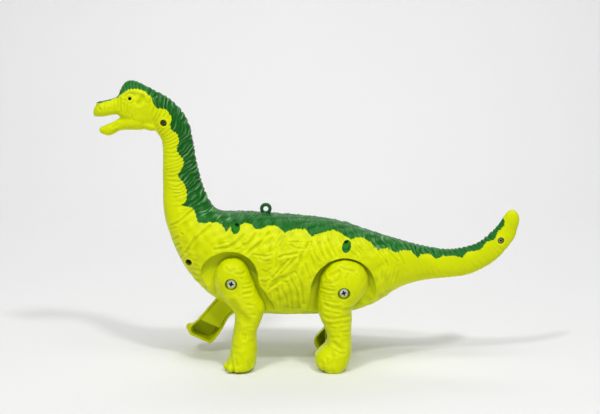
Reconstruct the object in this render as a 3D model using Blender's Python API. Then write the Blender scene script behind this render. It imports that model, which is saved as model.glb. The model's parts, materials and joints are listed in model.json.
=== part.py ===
"""A walking long-necked dinosaur toy, built as its separate pieces.

Metres, +Z up. The head points to -X and the toy's left side to -Y. It stands on z = 0.
"""
import math

import bmesh
import bpy
from mathutils import Vector

# Overall sizes
BODY_LENGTH = 0.302
BODY_HEIGHT = 0.2025
BODY_HALF_WIDTH = 0.031
HEAD_HALF_WIDTH = 0.0088
BELLY_SHARE = 0.176
BELLY_Z = BODY_HEIGHT * BELLY_SHARE

# Clearances
FIT_GAP = 0.0003
RUN_GAP = 0.0005
OVERRUN = 0.02

# Shell
SHELL_WALL = 0.0018
SKIN_POWER = 2.3
SKIN_SEGMENTS = 18
CAVITY_SEGMENTS = 16
HEAD_SEGMENTS = 14
JAW_SEGMENTS = 12
SNOUT_BULGE = 0.0012
TAIL_BULGE = 0.0042
INNER_BULGE = 0.0004

# Skin of the body from the back of the head to the tail's tip: back x, back z, belly x, belly z and half
# width, as shares of the body's length, height and half width
BODY_STATION_SHARES = (
    (-0.350, 0.962, -0.372, 0.870, 0.26),
    (-0.322, 0.936, -0.360, 0.835, 0.27),
    (-0.296, 0.898, -0.349, 0.811, 0.27),
    (-0.280, 0.856, -0.342, 0.790, 0.27),
    (-0.272, 0.809, -0.340, 0.760, 0.28),
    (-0.267, 0.768, -0.340, 0.728, 0.29),
    (-0.263, 0.727, -0.341, 0.693, 0.30),
    (-0.256, 0.681, -0.341, 0.652, 0.31),
    (-0.247, 0.631, -0.341, 0.610, 0.34),
    (-0.235, 0.587, -0.341, 0.567, 0.39),
    (-0.221, 0.556, -0.337, 0.517, 0.46),
    (-0.203, 0.543, -0.326, 0.463, 0.56),
    (-0.174, 0.540, -0.309, 0.397, 0.70),
    (-0.141, 0.540, -0.280, 0.323, 0.83),
    (-0.108, 0.537, -0.232, 0.249, 0.91),
    (-0.070, 0.532, -0.166, 0.193, 0.96),
    (-0.037, 0.529, -0.095, 0.178, 0.99),
    (-0.004, 0.524, -0.028, 0.176, 1.00),
    (0.034, 0.518, 0.034, 0.178, 0.99),
    (0.067, 0.509, 0.080, 0.184, 0.96),
    (0.100, 0.496, 0.116, 0.193, 0.92),
    (0.129, 0.481, 0.147, 0.209, 0.85),
    (0.157, 0.467, 0.175, 0.231, 0.75),
    (0.186, 0.453, 0.202, 0.257, 0.63),
    (0.225, 0.436, 0.233, 0.280, 0.50),
    (0.275, 0.417, 0.279, 0.297, 0.37),
    (0.329, 0.405, 0.325, 0.304, 0.28),
    (0.371, 0.412, 0.379, 0.314, 0.23),
    (0.404, 0.428, 0.420, 0.341, 0.20),
    (0.430, 0.458, 0.450, 0.372, 0.18),
    (0.451, 0.492, 0.473, 0.410, 0.155),
    (0.464, 0.522, 0.490, 0.446, 0.125),
    (0.472, 0.536, 0.496, 0.476, 0.095),
)
CAVITY_FIRST_STATION = 3
CAVITY_LAST_STATION = 28

# Upper head, from the snout to the nape, with half widths as shares of the head's half width
HEAD_STATION_SHARES = (
    (-0.4965, 0.912, -0.4965, 0.876, 0.50),
    (-0.487, 0.927, -0.487, 0.875, 0.70),
    (-0.471, 0.933, -0.472, 0.877, 0.80),
    (-0.455, 0.939, -0.456, 0.882, 0.82),
    (-0.443, 0.948, -0.443, 0.881, 0.84),
    (-0.436, 0.971, -0.435, 0.863, 0.88),
    (-0.426, 0.994, -0.423, 0.849, 0.94),
    (-0.413, 1.002, -0.409, 0.839, 1.00),
    (-0.397, 0.997, -0.393, 0.837, 1.00),
    (-0.377, 0.982, -0.377, 0.835, 0.98),
    (-0.357, 0.966, -0.367, 0.835, 0.94),
    (-0.340, 0.946, -0.357, 0.842, 0.84),
)

# Lower jaw, from its tip to the cheek
JAW_STATION_SHARES = (
    (-0.483, 0.840, -0.480, 0.815, 0.46),
    (-0.473, 0.847, -0.467, 0.809, 0.60),
    (-0.458, 0.856, -0.454, 0.815, 0.66),
    (-0.443, 0.868, -0.441, 0.826, 0.72),
    (-0.430, 0.877, -0.426, 0.829, 0.78),
    (-0.413, 0.886, -0.407, 0.829, 0.84),
    (-0.392, 0.888, -0.386, 0.829, 0.84),
)

# Hips and cranks
FRONT_HIP_X = -0.0533
FRONT_PIN_RISE = 0.02776
FRONT_PIN_LOW_Z = BELLY_Z + FRONT_PIN_RISE
FRONT_THROW = 0.0022
FRONT_AXLE_Z = FRONT_PIN_LOW_Z + FRONT_THROW
REAR_HIP_X = 0.025
REAR_HIP_RISE = 0.02136
REAR_HIP_Z = BELLY_Z + REAR_HIP_RISE
REAR_LEVER = 0.012
REAR_THROW = 0.0025
FRONT_LEFT_SWING = math.radians(-6.5)
FRONT_RIGHT_SWING = math.radians(25)

# Leg wells: shares of the well's radius, round the front axle and round the rear hip
WELL_DEPTH = 0.012
WELL_FLOOR_Y = BODY_HALF_WIDTH - WELL_DEPTH
FRONT_WELL_RADIUS = 0.0192
REAR_WELL_RADIUS = 0.023
FRONT_WELL_SHARES = (
    (1.62, -3.6), (1.58, -1.30), (1.50, -1.00), (1.36, -0.72), (1.18, -0.42), (1.02, -0.18), (0.98, 0.04),
    (0.93, 0.32), (0.79, 0.62), (0.54, 0.86), (0.20, 0.99), (-0.18, 1.01), (-0.53, 0.92), (-0.86, 0.73),
    (-1.08, 0.44), (-1.18, 0.05), (-1.22, -0.40), (-1.27, -0.90), (-1.35, -1.50), (-1.35, -3.6),
)
REAR_WELL_SHARES = (
    (0.90, -3.0), (0.90, -0.60), (0.95, -0.26), (1.00, -0.04), (0.96, 0.26), (0.82, 0.60), (0.55, 0.87),
    (0.20, 1.01), (-0.12, 1.02), (-0.45, 0.91), (-0.75, 0.68), (-0.93, 0.38), (-1.01, 0.05),
    (-1.05, -0.35), (-1.12, -0.80), (-1.15, -3.0),
)

# Legs: height, front x, back x and thickness, as shares of the leg's length, round the hip
LEG_SIDE_GAP = 0.0008
LEG_WALL = 0.0017
LEG_POWER = 2.6
LEG_ARC_STEPS = 7
FRONT_FOOT_LIFT = 0.0008
FRONT_LEG_LENGTH = FRONT_PIN_LOW_Z - FRONT_FOOT_LIFT
REAR_LEG_LENGTH = REAR_HIP_Z
FRONT_LEG_THICKNESS = 0.0186
REAR_LEG_THICKNESS = 0.0186
FRONT_LEG_SHARES = (
    (0.262, -0.020, 0.060, 0.42),
    (0.240, -0.080, 0.120, 0.62),
    (0.190, -0.130, 0.170, 0.82),
    (0.110, -0.180, 0.205, 0.92),
    (0.000, -0.198, 0.236, 0.95),
    (-0.110, -0.170, 0.268, 0.94),
    (-0.205, -0.103, 0.297, 0.91),
    (-0.310, -0.040, 0.335, 0.88),
    (-0.385, -0.012, 0.325, 0.86),
    (-0.520, -0.040, 0.255, 0.84),
    (-0.620, -0.068, 0.205, 0.86),
    (-0.800, -0.118, 0.193, 0.94),
    (-0.925, -0.172, 0.168, 1.00),
    (-0.975, -0.160, 0.153, 0.98),
    (-1.000, -0.125, 0.130, 0.93),
)
REAR_LEG_SHARES = (
    (0.386, -0.035, 0.065, 0.42),
    (0.355, -0.145, 0.160, 0.64),
    (0.300, -0.205, 0.240, 0.80),
    (0.175, -0.284, 0.302, 0.92),
    (0.060, -0.300, 0.300, 0.96),
    (-0.040, -0.312, 0.262, 0.96),
    (-0.150, -0.318, 0.165, 0.94),
    (-0.240, -0.316, 0.105, 0.91),
    (-0.350, -0.286, 0.110, 0.88),
    (-0.505, -0.214, 0.102, 0.85),
    (-0.640, -0.205, 0.105, 0.86),
    (-0.745, -0.300, 0.107, 0.93),
    (-0.830, -0.352, 0.093, 1.00),
    (-0.925, -0.322, 0.066, 0.99),
    (-1.000, -0.240, 0.010, 0.92),
)
ANKLE_SHARE = -0.66
COVER_TOP_SHARE = 0.17
FOOT_RIB_SHARES = (-0.045, 0.075)
REAR_FOOT_RIB_SHARES = (-0.20, -0.09)
FOOT_RIB_WALL = 0.0011
FOOT_RIB_DEPTH_SHARE = 0.35
COVER_THICKNESS = 0.0014
COVER_GAP = 0.0004

# Hubs and hip screws
HUB_WALL = 0.0017
HUB_SEAT_DEPTH = 0.0117
HIP_BOSS_RADIUS = 0.0026
HIP_HEAD_RADIUS = 0.0037
HIP_HEAD_THICKNESS = 0.0018
HIP_HEAD_ROOM = 0.0005
HIP_SHANK_RADIUS = 0.00075
HIP_SHANK_LENGTH = 0.007
SLEEVE_WALL = 0.0006
CRANK_PIN_RADIUS = 0.0019
DRIVE_PIN_RADIUS = 0.0015
GUIDE_PEG_RADIUS = 0.0014
GUIDE_PEG_RISE = 0.0115
CROSS_WIDTH = 0.0009
CROSS_REACH_SHARE = 0.55
CROSS_DEPTH = 0.0010

# Cranks and axles
AXLE_RADIUS = 0.0015
AXLE_SINK = 0.0013
DISC_RADIUS = 0.006
DISC_THICKNESS = 0.0028
PIN_SHY = 0.0003

# Gear train: module, teeth and face widths
CHAIN_MODULE = 0.001
FAST_MODULE = 0.0006
CRANK_TEETH = 24
IDLER_TEETH = 33
SECOND_PINION_TEETH = 8
SECOND_WHEEL_TEETH = 32
FIRST_PINION_TEETH = 8
FIRST_WHEEL_TEETH = 28
MOTOR_TEETH = 8
TOOTH_TOP = 0.7
TOOTH_ROOT = 1.05
TOOTH_TIP_SHARE = 0.20
TOOTH_FOOT_SHARE = 0.56
PLATE_THICKNESS = 0.0015
STACK_GAP = 0.0004
FAST_FACE = 0.0016
CHAIN_FACE = 0.003
LEFT_PLATE_Y = -0.0009
FAST_SHAFT_RADIUS = 0.00075
FIRST_WHEEL_RISE = 0.0015

# Gearbox posts
POST_RADIUS = 0.0023
POST_GAP = 0.003
PLATE_MARGIN = 0.0035
PLATE_SCREW_HEAD_RADIUS = 0.0019
PLATE_SCREW_HEAD_THICKNESS = 0.0012
PLATE_SCREW_LENGTH = 0.007
COLUMN_RADIUS = 0.003

# Motor
MOTOR_RADIUS = 0.0102
MOTOR_FLAT_HALF = 0.0077
MOTOR_LENGTH = 0.0205
MOTOR_CAP_LENGTH = 0.0045
MOTOR_SHAFT_RADIUS = 0.001
MOTOR_X = -0.016
MOTOR_LIFT = 0.0003

# Shell screws: x and z of the five bosses as shares of the body's length and height
SHELL_SCREW_SHARES = {
    "neck": (-0.3355, 0.856),
    "chest": (-0.2785, 0.373),
    "shoulder": (-0.1665, 0.498),
    "hip": (0.0894, 0.437),
    "tail": (0.4563, 0.440),
}
SCREW_HOLE_RADIUS = 0.0024
SCREW_HEAD_RADIUS = 0.0020
SCREW_HEAD_THICKNESS = 0.0014
SCREW_SEAT_DEPTH = 0.0022
SCREW_SHANK_RADIUS = 0.00075
SCREW_PILOT_GAP = 0.0003
SCREW_SHANK_LENGTH = 0.0055
SCREW_BOSS_WALL = 0.0016

# Eyelet
EYELET_X = -0.0299
EYELET_RADIUS = 0.0042
EYELET_HOLE_RADIUS = 0.00175
EYELET_THICKNESS = 0.0028
EYELET_STEM_WIDTH = 0.0056
EYELET_FOOT_WIDTH = 0.0096
EYELET_FOOT_HEIGHT = 0.0016
EYELET_STEM_REACH = 0.0092
EYELET_RISE = 0.0028
BACK_UNDER_EYELET_SHARE = 0.5368
BACK_UNDER_EYELET_Z = BODY_HEIGHT * BACK_UNDER_EYELET_SHARE
EYELET_Z = BACK_UNDER_EYELET_Z + EYELET_RISE

# Cells and their box
CELL_RADIUS = 0.00725
CELL_LENGTH = 0.0505
CELL_NUB_RADIUS = 0.0027
CELL_NUB_LENGTH = 0.0012
CELL_RISE = 0.01236
CELL_Z = BELLY_Z + CELL_RISE
BOX_START_X = -0.0428
BOX_WALL = 0.0012
BOX_LID = 0.0009
BOX_RISE = 0.01196
BOX_BOTTOM_Z = BELLY_Z + BOX_RISE
SPRING_ROOM = 0.004
CONTACT_THICKNESS = 0.0005
CONTACT_WIDTH = 0.009
CONTACT_HEIGHT = 0.0082
SPRING_TURNS = 3
SPRING_WIRE_RADIUS = 0.0003
SPRING_BIG_RADIUS = 0.0034
SPRING_SMALL_RADIUS = 0.0018
SPRING_POINTS_PER_TURN = 8
BOX_BOSS_RADIUS = 0.0026

# Battery door
DOOR_START_X = -0.0445
DOOR_HALF_WIDTH = 0.0148
DOOR_DEPTH = 0.00916
DOOR_TOP_Z = BELLY_Z + DOOR_DEPTH
DOOR_SCREW_EDGE = 0.0042
DOOR_SCREW_HEAD_RADIUS = 0.0019
DOOR_SCREW_HEAD_THICKNESS = 0.0009
DOOR_SCREW_SINK = 0.0003
DOOR_SCREW_SWING_GAP = 0.0008
DOOR_SCREW_REACH = 0.01286
DOOR_SCREW_TOP_Z = BELLY_Z + DOOR_SCREW_REACH
DOOR_CROWN_DROP = 0.00016
DOOR_SKIN_Z = BELLY_Z + DOOR_CROWN_DROP

# Slide switch
SWITCH_SPACING = 0.0085
SWITCH_LENGTH = 0.0124
SWITCH_WIDTH = 0.0066
SWITCH_RISE = 0.00586
SWITCH_BOTTOM_Z = BELLY_Z + SWITCH_RISE
SWITCH_HEIGHT = 0.0046
SLIDER_LENGTH = 0.0034
SLIDER_WIDTH = 0.0028
SLIDER_TRAVEL = 0.003
SLIDER_SHOE_HEIGHT = 0.0015
SLIDER_SHOE_LENGTH = 0.0042
SLIDER_SINK = 0.00056
SLIDER_BOTTOM_Z = BELLY_Z + SLIDER_SINK
POCKET_WALL = 0.0016

# Wires
WIRE_RADIUS = 0.0006
WIRE_SIDE_STEP = 0.002


def face_out(mesh):
    """Turns every face outwards after points were moved or made."""
    mesh.normal_update()
    bmesh.ops.recalc_face_normals(mesh, faces=mesh.faces)


def shares_to_rings(rows, length, height, half_width):
    """Each row becomes a ring: the back point, the belly point and the half width."""
    rings = []
    for back_x, back_z, belly_x, belly_z, width in rows:
        back = Vector((back_x * length, 0, back_z * height))
        belly = Vector((belly_x * length, 0, belly_z * height))
        rings.append((back, belly, width * half_width))
    return rings


def inset_rings(rings, wall):
    """The rings moved in by the wall all round."""
    inner = []
    for back, belly, half_width in rings:
        inward = (belly - back).normalized() * wall
        inner.append((back + inward, belly - inward, half_width - wall))
    return inner


def superellipse(angle, power):
    cosine = math.cos(angle)
    sine = math.sin(angle)
    return (
        math.copysign(abs(cosine) ** (2 / power), cosine),
        math.copysign(abs(sine) ** (2 / power), sine),
    )


def loft(rings, segments, power, start_bulge, end_bulge):
    """A closed skin over the rings, with a low dome at each end."""
    mesh = bmesh.new()
    loops = []
    for back, belly, half_width in rings:
        centre = (back + belly) / 2
        arm = (back - belly) / 2
        loop = []
        for step in range(segments):
            along, across = superellipse(2 * math.pi * step / segments, power)
            loop.append(mesh.verts.new(centre + arm * along + Vector((0, half_width * across, 0))))
        loops.append(loop)
    for first, second in zip(loops, loops[1:]):
        for step in range(segments):
            after = (step + 1) % segments
            mesh.faces.new((first[step], first[after], second[after], second[step]))
    for loop, ring, neighbour, bulge in (
        (loops[0], rings[0], rings[1], start_bulge),
        (loops[-1], rings[-1], rings[-2], end_bulge),
    ):
        centre = (ring[0] + ring[1]) / 2
        outward = (centre - (neighbour[0] + neighbour[1]) / 2).normalized()
        tip = mesh.verts.new(centre + outward * bulge)
        for step in range(segments):
            mesh.faces.new((loop[step], loop[(step + 1) % segments], tip))
    face_out(mesh)
    return mesh


def circle(radius, sides, x=0.0, z=0.0):
    """An outline in the XZ plane."""
    return [
        (x + radius * math.cos(2 * math.pi * (step + 0.5) / sides), z + radius * math.sin(2 * math.pi * (step + 0.5) / sides))
        for step in range(sides)
    ]


def bar(x_low, x_high, z_low, z_high):
    return [(x_low, z_low), (x_high, z_low), (x_high, z_high), (x_low, z_high)]


def prism(outline, start_y, end_y, mesh=None):
    """The outline, drawn in the XZ plane, pulled from start_y to end_y."""
    mesh = mesh or bmesh.new()
    face = mesh.faces.new([mesh.verts.new((x, start_y, z)) for x, z in outline])
    pulled = bmesh.ops.extrude_face_region(mesh, geom=[face])
    moved = [item for item in pulled["geom"] if isinstance(item, bmesh.types.BMVert)]
    bmesh.ops.translate(mesh, verts=moved, vec=(0, end_y - start_y, 0))
    face_out(mesh)
    return mesh


def turned(profile, sides, mesh=None, x=0.0, z=0.0):
    """A turned solid about the Y axis: the profile lists (y, radius) and starts and ends at radius 0."""
    mesh = mesh or bmesh.new()
    start = mesh.verts.new((x, profile[0][0], z))
    end = mesh.verts.new((x, profile[-1][0], z))
    loops = []
    for y, radius in profile[1:-1]:
        loops.append([mesh.verts.new((px, y, pz)) for px, pz in circle(radius, sides, x, z)])
    for step in range(sides):
        after = (step + 1) % sides
        mesh.faces.new((start, loops[0][step], loops[0][after]))
        mesh.faces.new((end, loops[-1][after], loops[-1][step]))
        for first, second in zip(loops, loops[1:]):
            mesh.faces.new((first[step], second[step], second[after], first[after]))
    face_out(mesh)
    return mesh


def make_material(name, colour, roughness, metallic=0.0):
    material = bpy.data.materials.new(name)
    material.use_nodes = True
    shader = material.node_tree.nodes["Principled BSDF"]
    shader.inputs["Base Color"].default_value = (*colour, 1.0)
    shader.inputs["Roughness"].default_value = roughness
    shader.inputs["Metallic"].default_value = metallic
    return material


def make_object(name, mesh, material=None, parent=None):
    data = bpy.data.meshes.new(name)
    mesh.to_mesh(data)
    mesh.free()
    item = bpy.data.objects.new(name, data)
    bpy.context.scene.collection.objects.link(item)
    if material:
        data.materials.append(material)
    if parent:
        item.parent = parent
    return item


def pivot(name, x, z, swing=0.0):
    """An empty on a joint's axis, which lies along Y."""
    empty = bpy.data.objects.new(name, None)
    bpy.context.scene.collection.objects.link(empty)
    empty.location = (x, 0, z)
    empty.rotation_euler = (0, swing, 0)
    return empty


def combine(target, mesh, operation="DIFFERENCE"):
    """Cuts, joins or keeps what the target shares with another solid, in the target's own space."""
    tool = make_object("tool", mesh)
    tool.hide_render = True
    tool.display_type = "WIRE"
    parent = target.parent
    target.parent = None
    modifier = target.modifiers.new("combine", "BOOLEAN")
    modifier.operation = operation
    modifier.object = tool
    modifier.solver = "EXACT"
    graph = bpy.context.evaluated_depsgraph_get()
    result = bpy.data.meshes.new_from_object(target.evaluated_get(graph))
    target.modifiers.clear()
    old = target.data
    target.data = result
    bpy.data.meshes.remove(old)
    bpy.data.objects.remove(tool)
    target.parent = parent
    return target


def smooth(item):
    item.data.shade_smooth()
    item.data.set_sharp_from_angle(angle=math.radians(35))
    return item


def meet(first, first_reach, second, second_reach, side):
    """The point at the two reaches from two centres, on the left (1) or right (-1) of the line between."""
    line = Vector(second) - Vector(first)
    distance = line.length
    along = (first_reach**2 - second_reach**2 + distance**2) / (2 * distance)
    across = math.sqrt(first_reach**2 - along**2)
    line.normalize()
    normal = Vector((-line.y, line.x))
    place = Vector(first) + line * along + normal * (side * across)
    return place.x, place.y


def pitch_radius(module, teeth):
    return module * teeth / 2


def outer_radius(module, teeth):
    return pitch_radius(module, teeth) + TOOTH_TOP * module


def gear_outline(module, teeth, phase):
    """Tooth flanks run straight from foot to tip, with room between meshing teeth."""
    pitch_angle = 2 * math.pi / teeth
    root = pitch_radius(module, teeth) - TOOTH_ROOT * module
    top = outer_radius(module, teeth)
    outline = []
    for tooth in range(teeth):
        middle = phase + tooth * pitch_angle
        for radius, share in (
            (root, -TOOTH_FOOT_SHARE),
            (top, -TOOTH_TIP_SHARE),
            (top, TOOTH_TIP_SHARE),
            (root, TOOTH_FOOT_SHARE),
        ):
            angle = middle + share * pitch_angle / 2
            outline.append((radius * math.cos(angle), radius * math.sin(angle)))
    return outline


def meshed_phase(place, teeth, driver_place, driver_teeth, driver_phase):
    """The phase that puts this gear's gap on the driver's tooth."""
    bearing = math.atan2(place[1] - driver_place[1], place[0] - driver_place[0])
    driver_pitch = 2 * math.pi / driver_teeth
    own_pitch = 2 * math.pi / teeth
    return bearing + math.pi - own_pitch * ((driver_phase - bearing) / driver_pitch + 0.5)


def hull(points):
    """The convex outline round a set of points."""
    points = sorted(set(points))

    def half(sequence):
        chain = []
        for point in sequence:
            while len(chain) > 1 and (
                (chain[-1][0] - chain[-2][0]) * (point[1] - chain[-2][1])
                - (chain[-1][1] - chain[-2][1]) * (point[0] - chain[-2][0])
            ) <= 0:
                chain.pop()
            chain.append(point)
        return chain[:-1]

    return half(points) + half(reversed(points))


def grown(outline, step):
    """The outline moved outwards by a step, corner by corner."""
    points = [Vector(point) for point in outline]
    area = sum(a.x * b.y - b.x * a.y for a, b in zip(points, points[1:] + points[:1]))
    turn = math.copysign(1, area)
    moved = []
    for index, point in enumerate(points):
        before = (point - points[index - 1]).normalized()
        after = (points[(index + 1) % len(points)] - point).normalized()
        normal = Vector((before.y + after.y, -before.x - after.x)).normalized() * turn
        cosine = max(normal.dot(Vector((before.y, -before.x)) * turn), 0.5)
        moved.append(tuple(point + normal * (step / cosine)))
    return moved


# Places that follow from the sizes

FRONT_AXLE = (FRONT_HIP_X, FRONT_AXLE_Z)
REAR_HIP = (REAR_HIP_X, REAR_HIP_Z)
REAR_AXLE = (REAR_HIP_X, REAR_HIP_Z + REAR_LEVER)
CRANK_PITCH = pitch_radius(CHAIN_MODULE, CRANK_TEETH)
IDLER_PITCH = pitch_radius(CHAIN_MODULE, IDLER_TEETH)


def idler_places():
    """The two idlers sit above the line of the axles, touching each other and the crank gears."""
    line = Vector(REAR_AXLE) - Vector(FRONT_AXLE)
    along = (line.length - 2 * IDLER_PITCH) / 2
    rise = math.sqrt((CRANK_PITCH + IDLER_PITCH) ** 2 - along**2)
    line.normalize()
    normal = Vector((-line.y, line.x))
    first = Vector(FRONT_AXLE) + line * along + normal * rise
    second = first + line * (2 * IDLER_PITCH)
    return tuple(first), tuple(second)


IDLER_A, IDLER_B = idler_places()
CHANNEL_Y = WELL_FLOOR_Y - SHELL_WALL
LEG_Y = WELL_FLOOR_Y + LEG_SIDE_GAP
HUB_SEAT_Y = LEG_Y + HUB_SEAT_DEPTH
DISC_OUTER_Y = CHANNEL_Y - FIT_GAP
BOX_LID_Z = CELL_Z + CELL_RADIUS + FIT_GAP
BOX_TOP_Z = BOX_LID_Z + BOX_LID
MOTOR = (MOTOR_X, BOX_TOP_Z + MOTOR_LIFT + MOTOR_FLAT_HALF)
MOTOR_PITCH = pitch_radius(FAST_MODULE, MOTOR_TEETH)
FIRST_REACH = MOTOR_PITCH + pitch_radius(FAST_MODULE, FIRST_WHEEL_TEETH)
FIRST_GEAR = (
    MOTOR[0] + math.sqrt(FIRST_REACH**2 - FIRST_WHEEL_RISE**2),
    MOTOR[1] + FIRST_WHEEL_RISE,
)
SECOND_GEAR = meet(
    IDLER_A,
    IDLER_PITCH + pitch_radius(CHAIN_MODULE, SECOND_PINION_TEETH),
    FIRST_GEAR,
    pitch_radius(FAST_MODULE, FIRST_PINION_TEETH) + pitch_radius(FAST_MODULE, SECOND_WHEEL_TEETH),
    -1,
)
LEFT_PLATE = (LEFT_PLATE_Y, LEFT_PLATE_Y + PLATE_THICKNESS)
FIRST_FACE = (LEFT_PLATE[1] + STACK_GAP, LEFT_PLATE[1] + STACK_GAP + FAST_FACE)
SECOND_FACE = (FIRST_FACE[1] + STACK_GAP, FIRST_FACE[1] + STACK_GAP + FAST_FACE)
THIRD_FACE = (SECOND_FACE[1] + STACK_GAP, SECOND_FACE[1] + STACK_GAP + CHAIN_FACE)
RIGHT_PLATE = (THIRD_FACE[1] + STACK_GAP, THIRD_FACE[1] + STACK_GAP + PLATE_THICKNESS)


def beside(place, radius, angle):
    reach = radius + POST_RADIUS + POST_GAP
    return place[0] + reach * math.cos(math.radians(angle)), place[1] + reach * math.sin(math.radians(angle))


CRANK_OUTER = outer_radius(CHAIN_MODULE, CRANK_TEETH)
IDLER_OUTER = outer_radius(CHAIN_MODULE, IDLER_TEETH)
POSTS = (
    beside(FRONT_AXLE, CRANK_OUTER, 95),
    beside(IDLER_A, IDLER_OUTER, 42),
    beside(REAR_AXLE, CRANK_OUTER, 5),
    beside(FRONT_AXLE, CRANK_OUTER, -12),
    beside(REAR_AXLE, CRANK_OUTER, 206),
)
SHELL_SCREWS = [(x * BODY_LENGTH, z * BODY_HEIGHT) for x, z in SHELL_SCREW_SHARES.values()]
BOX_END_X = BOX_START_X + SPRING_ROOM + CELL_LENGTH + BOX_WALL
DOOR_SCREW_X = BOX_END_X + BOX_BOSS_RADIUS + FIT_GAP
DOOR_END_X = DOOR_SCREW_X + DOOR_SCREW_EDGE
SWITCH_X = DOOR_END_X + SWITCH_SPACING
DOOR_SCREW_SEAT_Z = DOOR_SKIN_Z + DOOR_SCREW_SINK + DOOR_SCREW_HEAD_THICKNESS


def well_outline(shares, radius, centre):
    return [(centre[0] + x * radius, centre[1] + z * radius) for x, z in shares]


FRONT_WELL = well_outline(FRONT_WELL_SHARES, FRONT_WELL_RADIUS, FRONT_AXLE)
REAR_WELL = well_outline(REAR_WELL_SHARES, REAR_WELL_RADIUS, REAR_HIP)


def make_shells(plastic):
    """Both halves and the battery door are cut from one hollow body."""
    stations = shares_to_rings(BODY_STATION_SHARES, BODY_LENGTH, BODY_HEIGHT, BODY_HALF_WIDTH)
    body = make_object("body", loft(stations, SKIN_SEGMENTS, SKIN_POWER, INNER_BULGE, TAIL_BULGE))
    head = shares_to_rings(HEAD_STATION_SHARES, BODY_LENGTH, BODY_HEIGHT, HEAD_HALF_WIDTH)
    combine(body, loft(head, HEAD_SEGMENTS, SKIN_POWER, SNOUT_BULGE, INNER_BULGE), "UNION")
    jaw = shares_to_rings(JAW_STATION_SHARES, BODY_LENGTH, BODY_HEIGHT, HEAD_HALF_WIDTH)
    combine(body, loft(jaw, JAW_SEGMENTS, SKIN_POWER, SNOUT_BULGE, INNER_BULGE), "UNION")

    hollow = stations[CAVITY_FIRST_STATION : CAVITY_LAST_STATION + 1]
    cavity = make_object(
        "cavity",
        loft(inset_rings(hollow, SHELL_WALL), CAVITY_SEGMENTS, SKIN_POWER, INNER_BULGE, INNER_BULGE),
    )
    far = BODY_HALF_WIDTH + OVERRUN
    for outline in (FRONT_WELL, REAR_WELL):
        for side in (-1, 1):
            combine(cavity, prism(grown(outline, SHELL_WALL), side * CHANNEL_Y, side * far))
    boss_radius = SCREW_HOLE_RADIUS + SCREW_BOSS_WALL
    bosses = bmesh.new()
    for x, z in SHELL_SCREWS[:-1]:
        prism(circle(boss_radius, 12, x, z), -far, far, bosses)
    combine(cavity, bosses)
    columns = bmesh.new()
    head_end = LEFT_PLATE[0] - 2 * FIT_GAP - PLATE_SCREW_HEAD_THICKNESS
    for x, z in POSTS[:3]:
        prism(circle(COLUMN_RADIUS, 8, x, z), RIGHT_PLATE[1] + FIT_GAP, far, columns)
        prism(circle(COLUMN_RADIUS, 8, x, z), head_end, -far, columns)
    combine(cavity, columns)

    hollow_mesh = bmesh.new()
    hollow_mesh.from_mesh(cavity.data)
    bpy.data.objects.remove(cavity)
    combine(body, hollow_mesh)
    wells = bmesh.new()
    for outline in (FRONT_WELL, REAR_WELL):
        for side in (-1, 1):
            prism(outline, side * WELL_FLOOR_Y, side * far, wells)
    combine(body, wells)

    door_block = prism(
        bar(DOOR_START_X, DOOR_END_X, -OVERRUN, DOOR_TOP_Z), -DOOR_HALF_WIDTH, DOOR_HALF_WIDTH
    )
    door = body.copy()
    door.data = body.data.copy()
    door.name = "battery_door"
    bpy.context.scene.collection.objects.link(door)
    combine(door, door_block, "INTERSECT")
    door_edge = DOOR_HALF_WIDTH + FIT_GAP
    combine(
        body,
        prism(
            bar(DOOR_START_X - FIT_GAP, DOOR_END_X + FIT_GAP, -OVERRUN, DOOR_TOP_Z + FIT_GAP),
            -door_edge,
            door_edge,
        ),
    )
    screw_hole = prism(
        circle(DOOR_SCREW_HEAD_RADIUS + FIT_GAP, 10), 0, DOOR_SCREW_SEAT_Z
    )
    upright(screw_hole, DOOR_SCREW_X)
    combine(door, screw_hole)
    shank_hole = prism(circle(SCREW_SHANK_RADIUS + FIT_GAP, 10), 0, DOOR_TOP_Z)
    upright(shank_hole, DOOR_SCREW_X)
    combine(door, shank_hole)

    slot = bmesh.new()
    travel = SLIDER_TRAVEL + FIT_GAP
    start = SWITCH_X - SLIDER_LENGTH / 2 - SLIDER_TRAVEL / 2 - FIT_GAP
    prism(
        bar(start, start + SLIDER_LENGTH + travel + FIT_GAP, SLIDER_BOTTOM_Z - OVERRUN, SWITCH_BOTTOM_Z),
        -SLIDER_WIDTH / 2 - FIT_GAP,
        SLIDER_WIDTH / 2 + FIT_GAP,
        slot,
    )
    prism(
        grown(eyelet_outline(), FIT_GAP), -EYELET_THICKNESS / 2 - FIT_GAP, EYELET_THICKNESS / 2 + FIT_GAP, slot
    )
    combine(body, slot)

    windows = bmesh.new()
    for side in (-1, 1):
        inside = side * (CHANNEL_Y - SHELL_WALL)
        outside = side * (WELL_FLOOR_Y + SHELL_WALL)
        front_reach = FRONT_THROW + CRANK_PIN_RADIUS + RUN_GAP
        rear_reach = REAR_THROW + DRIVE_PIN_RADIUS + RUN_GAP
        prism(circle(front_reach, 16, *FRONT_AXLE), inside, outside, windows)
        prism(circle(rear_reach, 16, *REAR_AXLE), inside, outside, windows)
    combine(body, windows)

    halves = []
    for name, side in (("shell_left", -1), ("shell_right", 1)):
        half = body.copy()
        half.data = body.data.copy()
        half.name = name
        bpy.context.scene.collection.objects.link(half)
        reach = BODY_LENGTH
        combine(half, prism(bar(-reach, reach, -reach, reach), side * FIT_GAP / 2, side * far), "INTERSECT")
        add_hip_boss(half, side)
        halves.append(half)
    bpy.data.objects.remove(body)
    cut_screw_holes(*halves)
    for item in (*halves, door):
        item.data.materials.clear()
        item.data.materials.append(plastic)
        smooth(item)
    return halves, door


def upright(mesh, x):
    """Turns a prism drawn along Y so that it stands along Z at x on the middle plane."""
    for vert in mesh.verts:
        height = vert.co.y
        vert.co = Vector((x + vert.co.x, vert.co.z, height))
    face_out(mesh)


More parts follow.
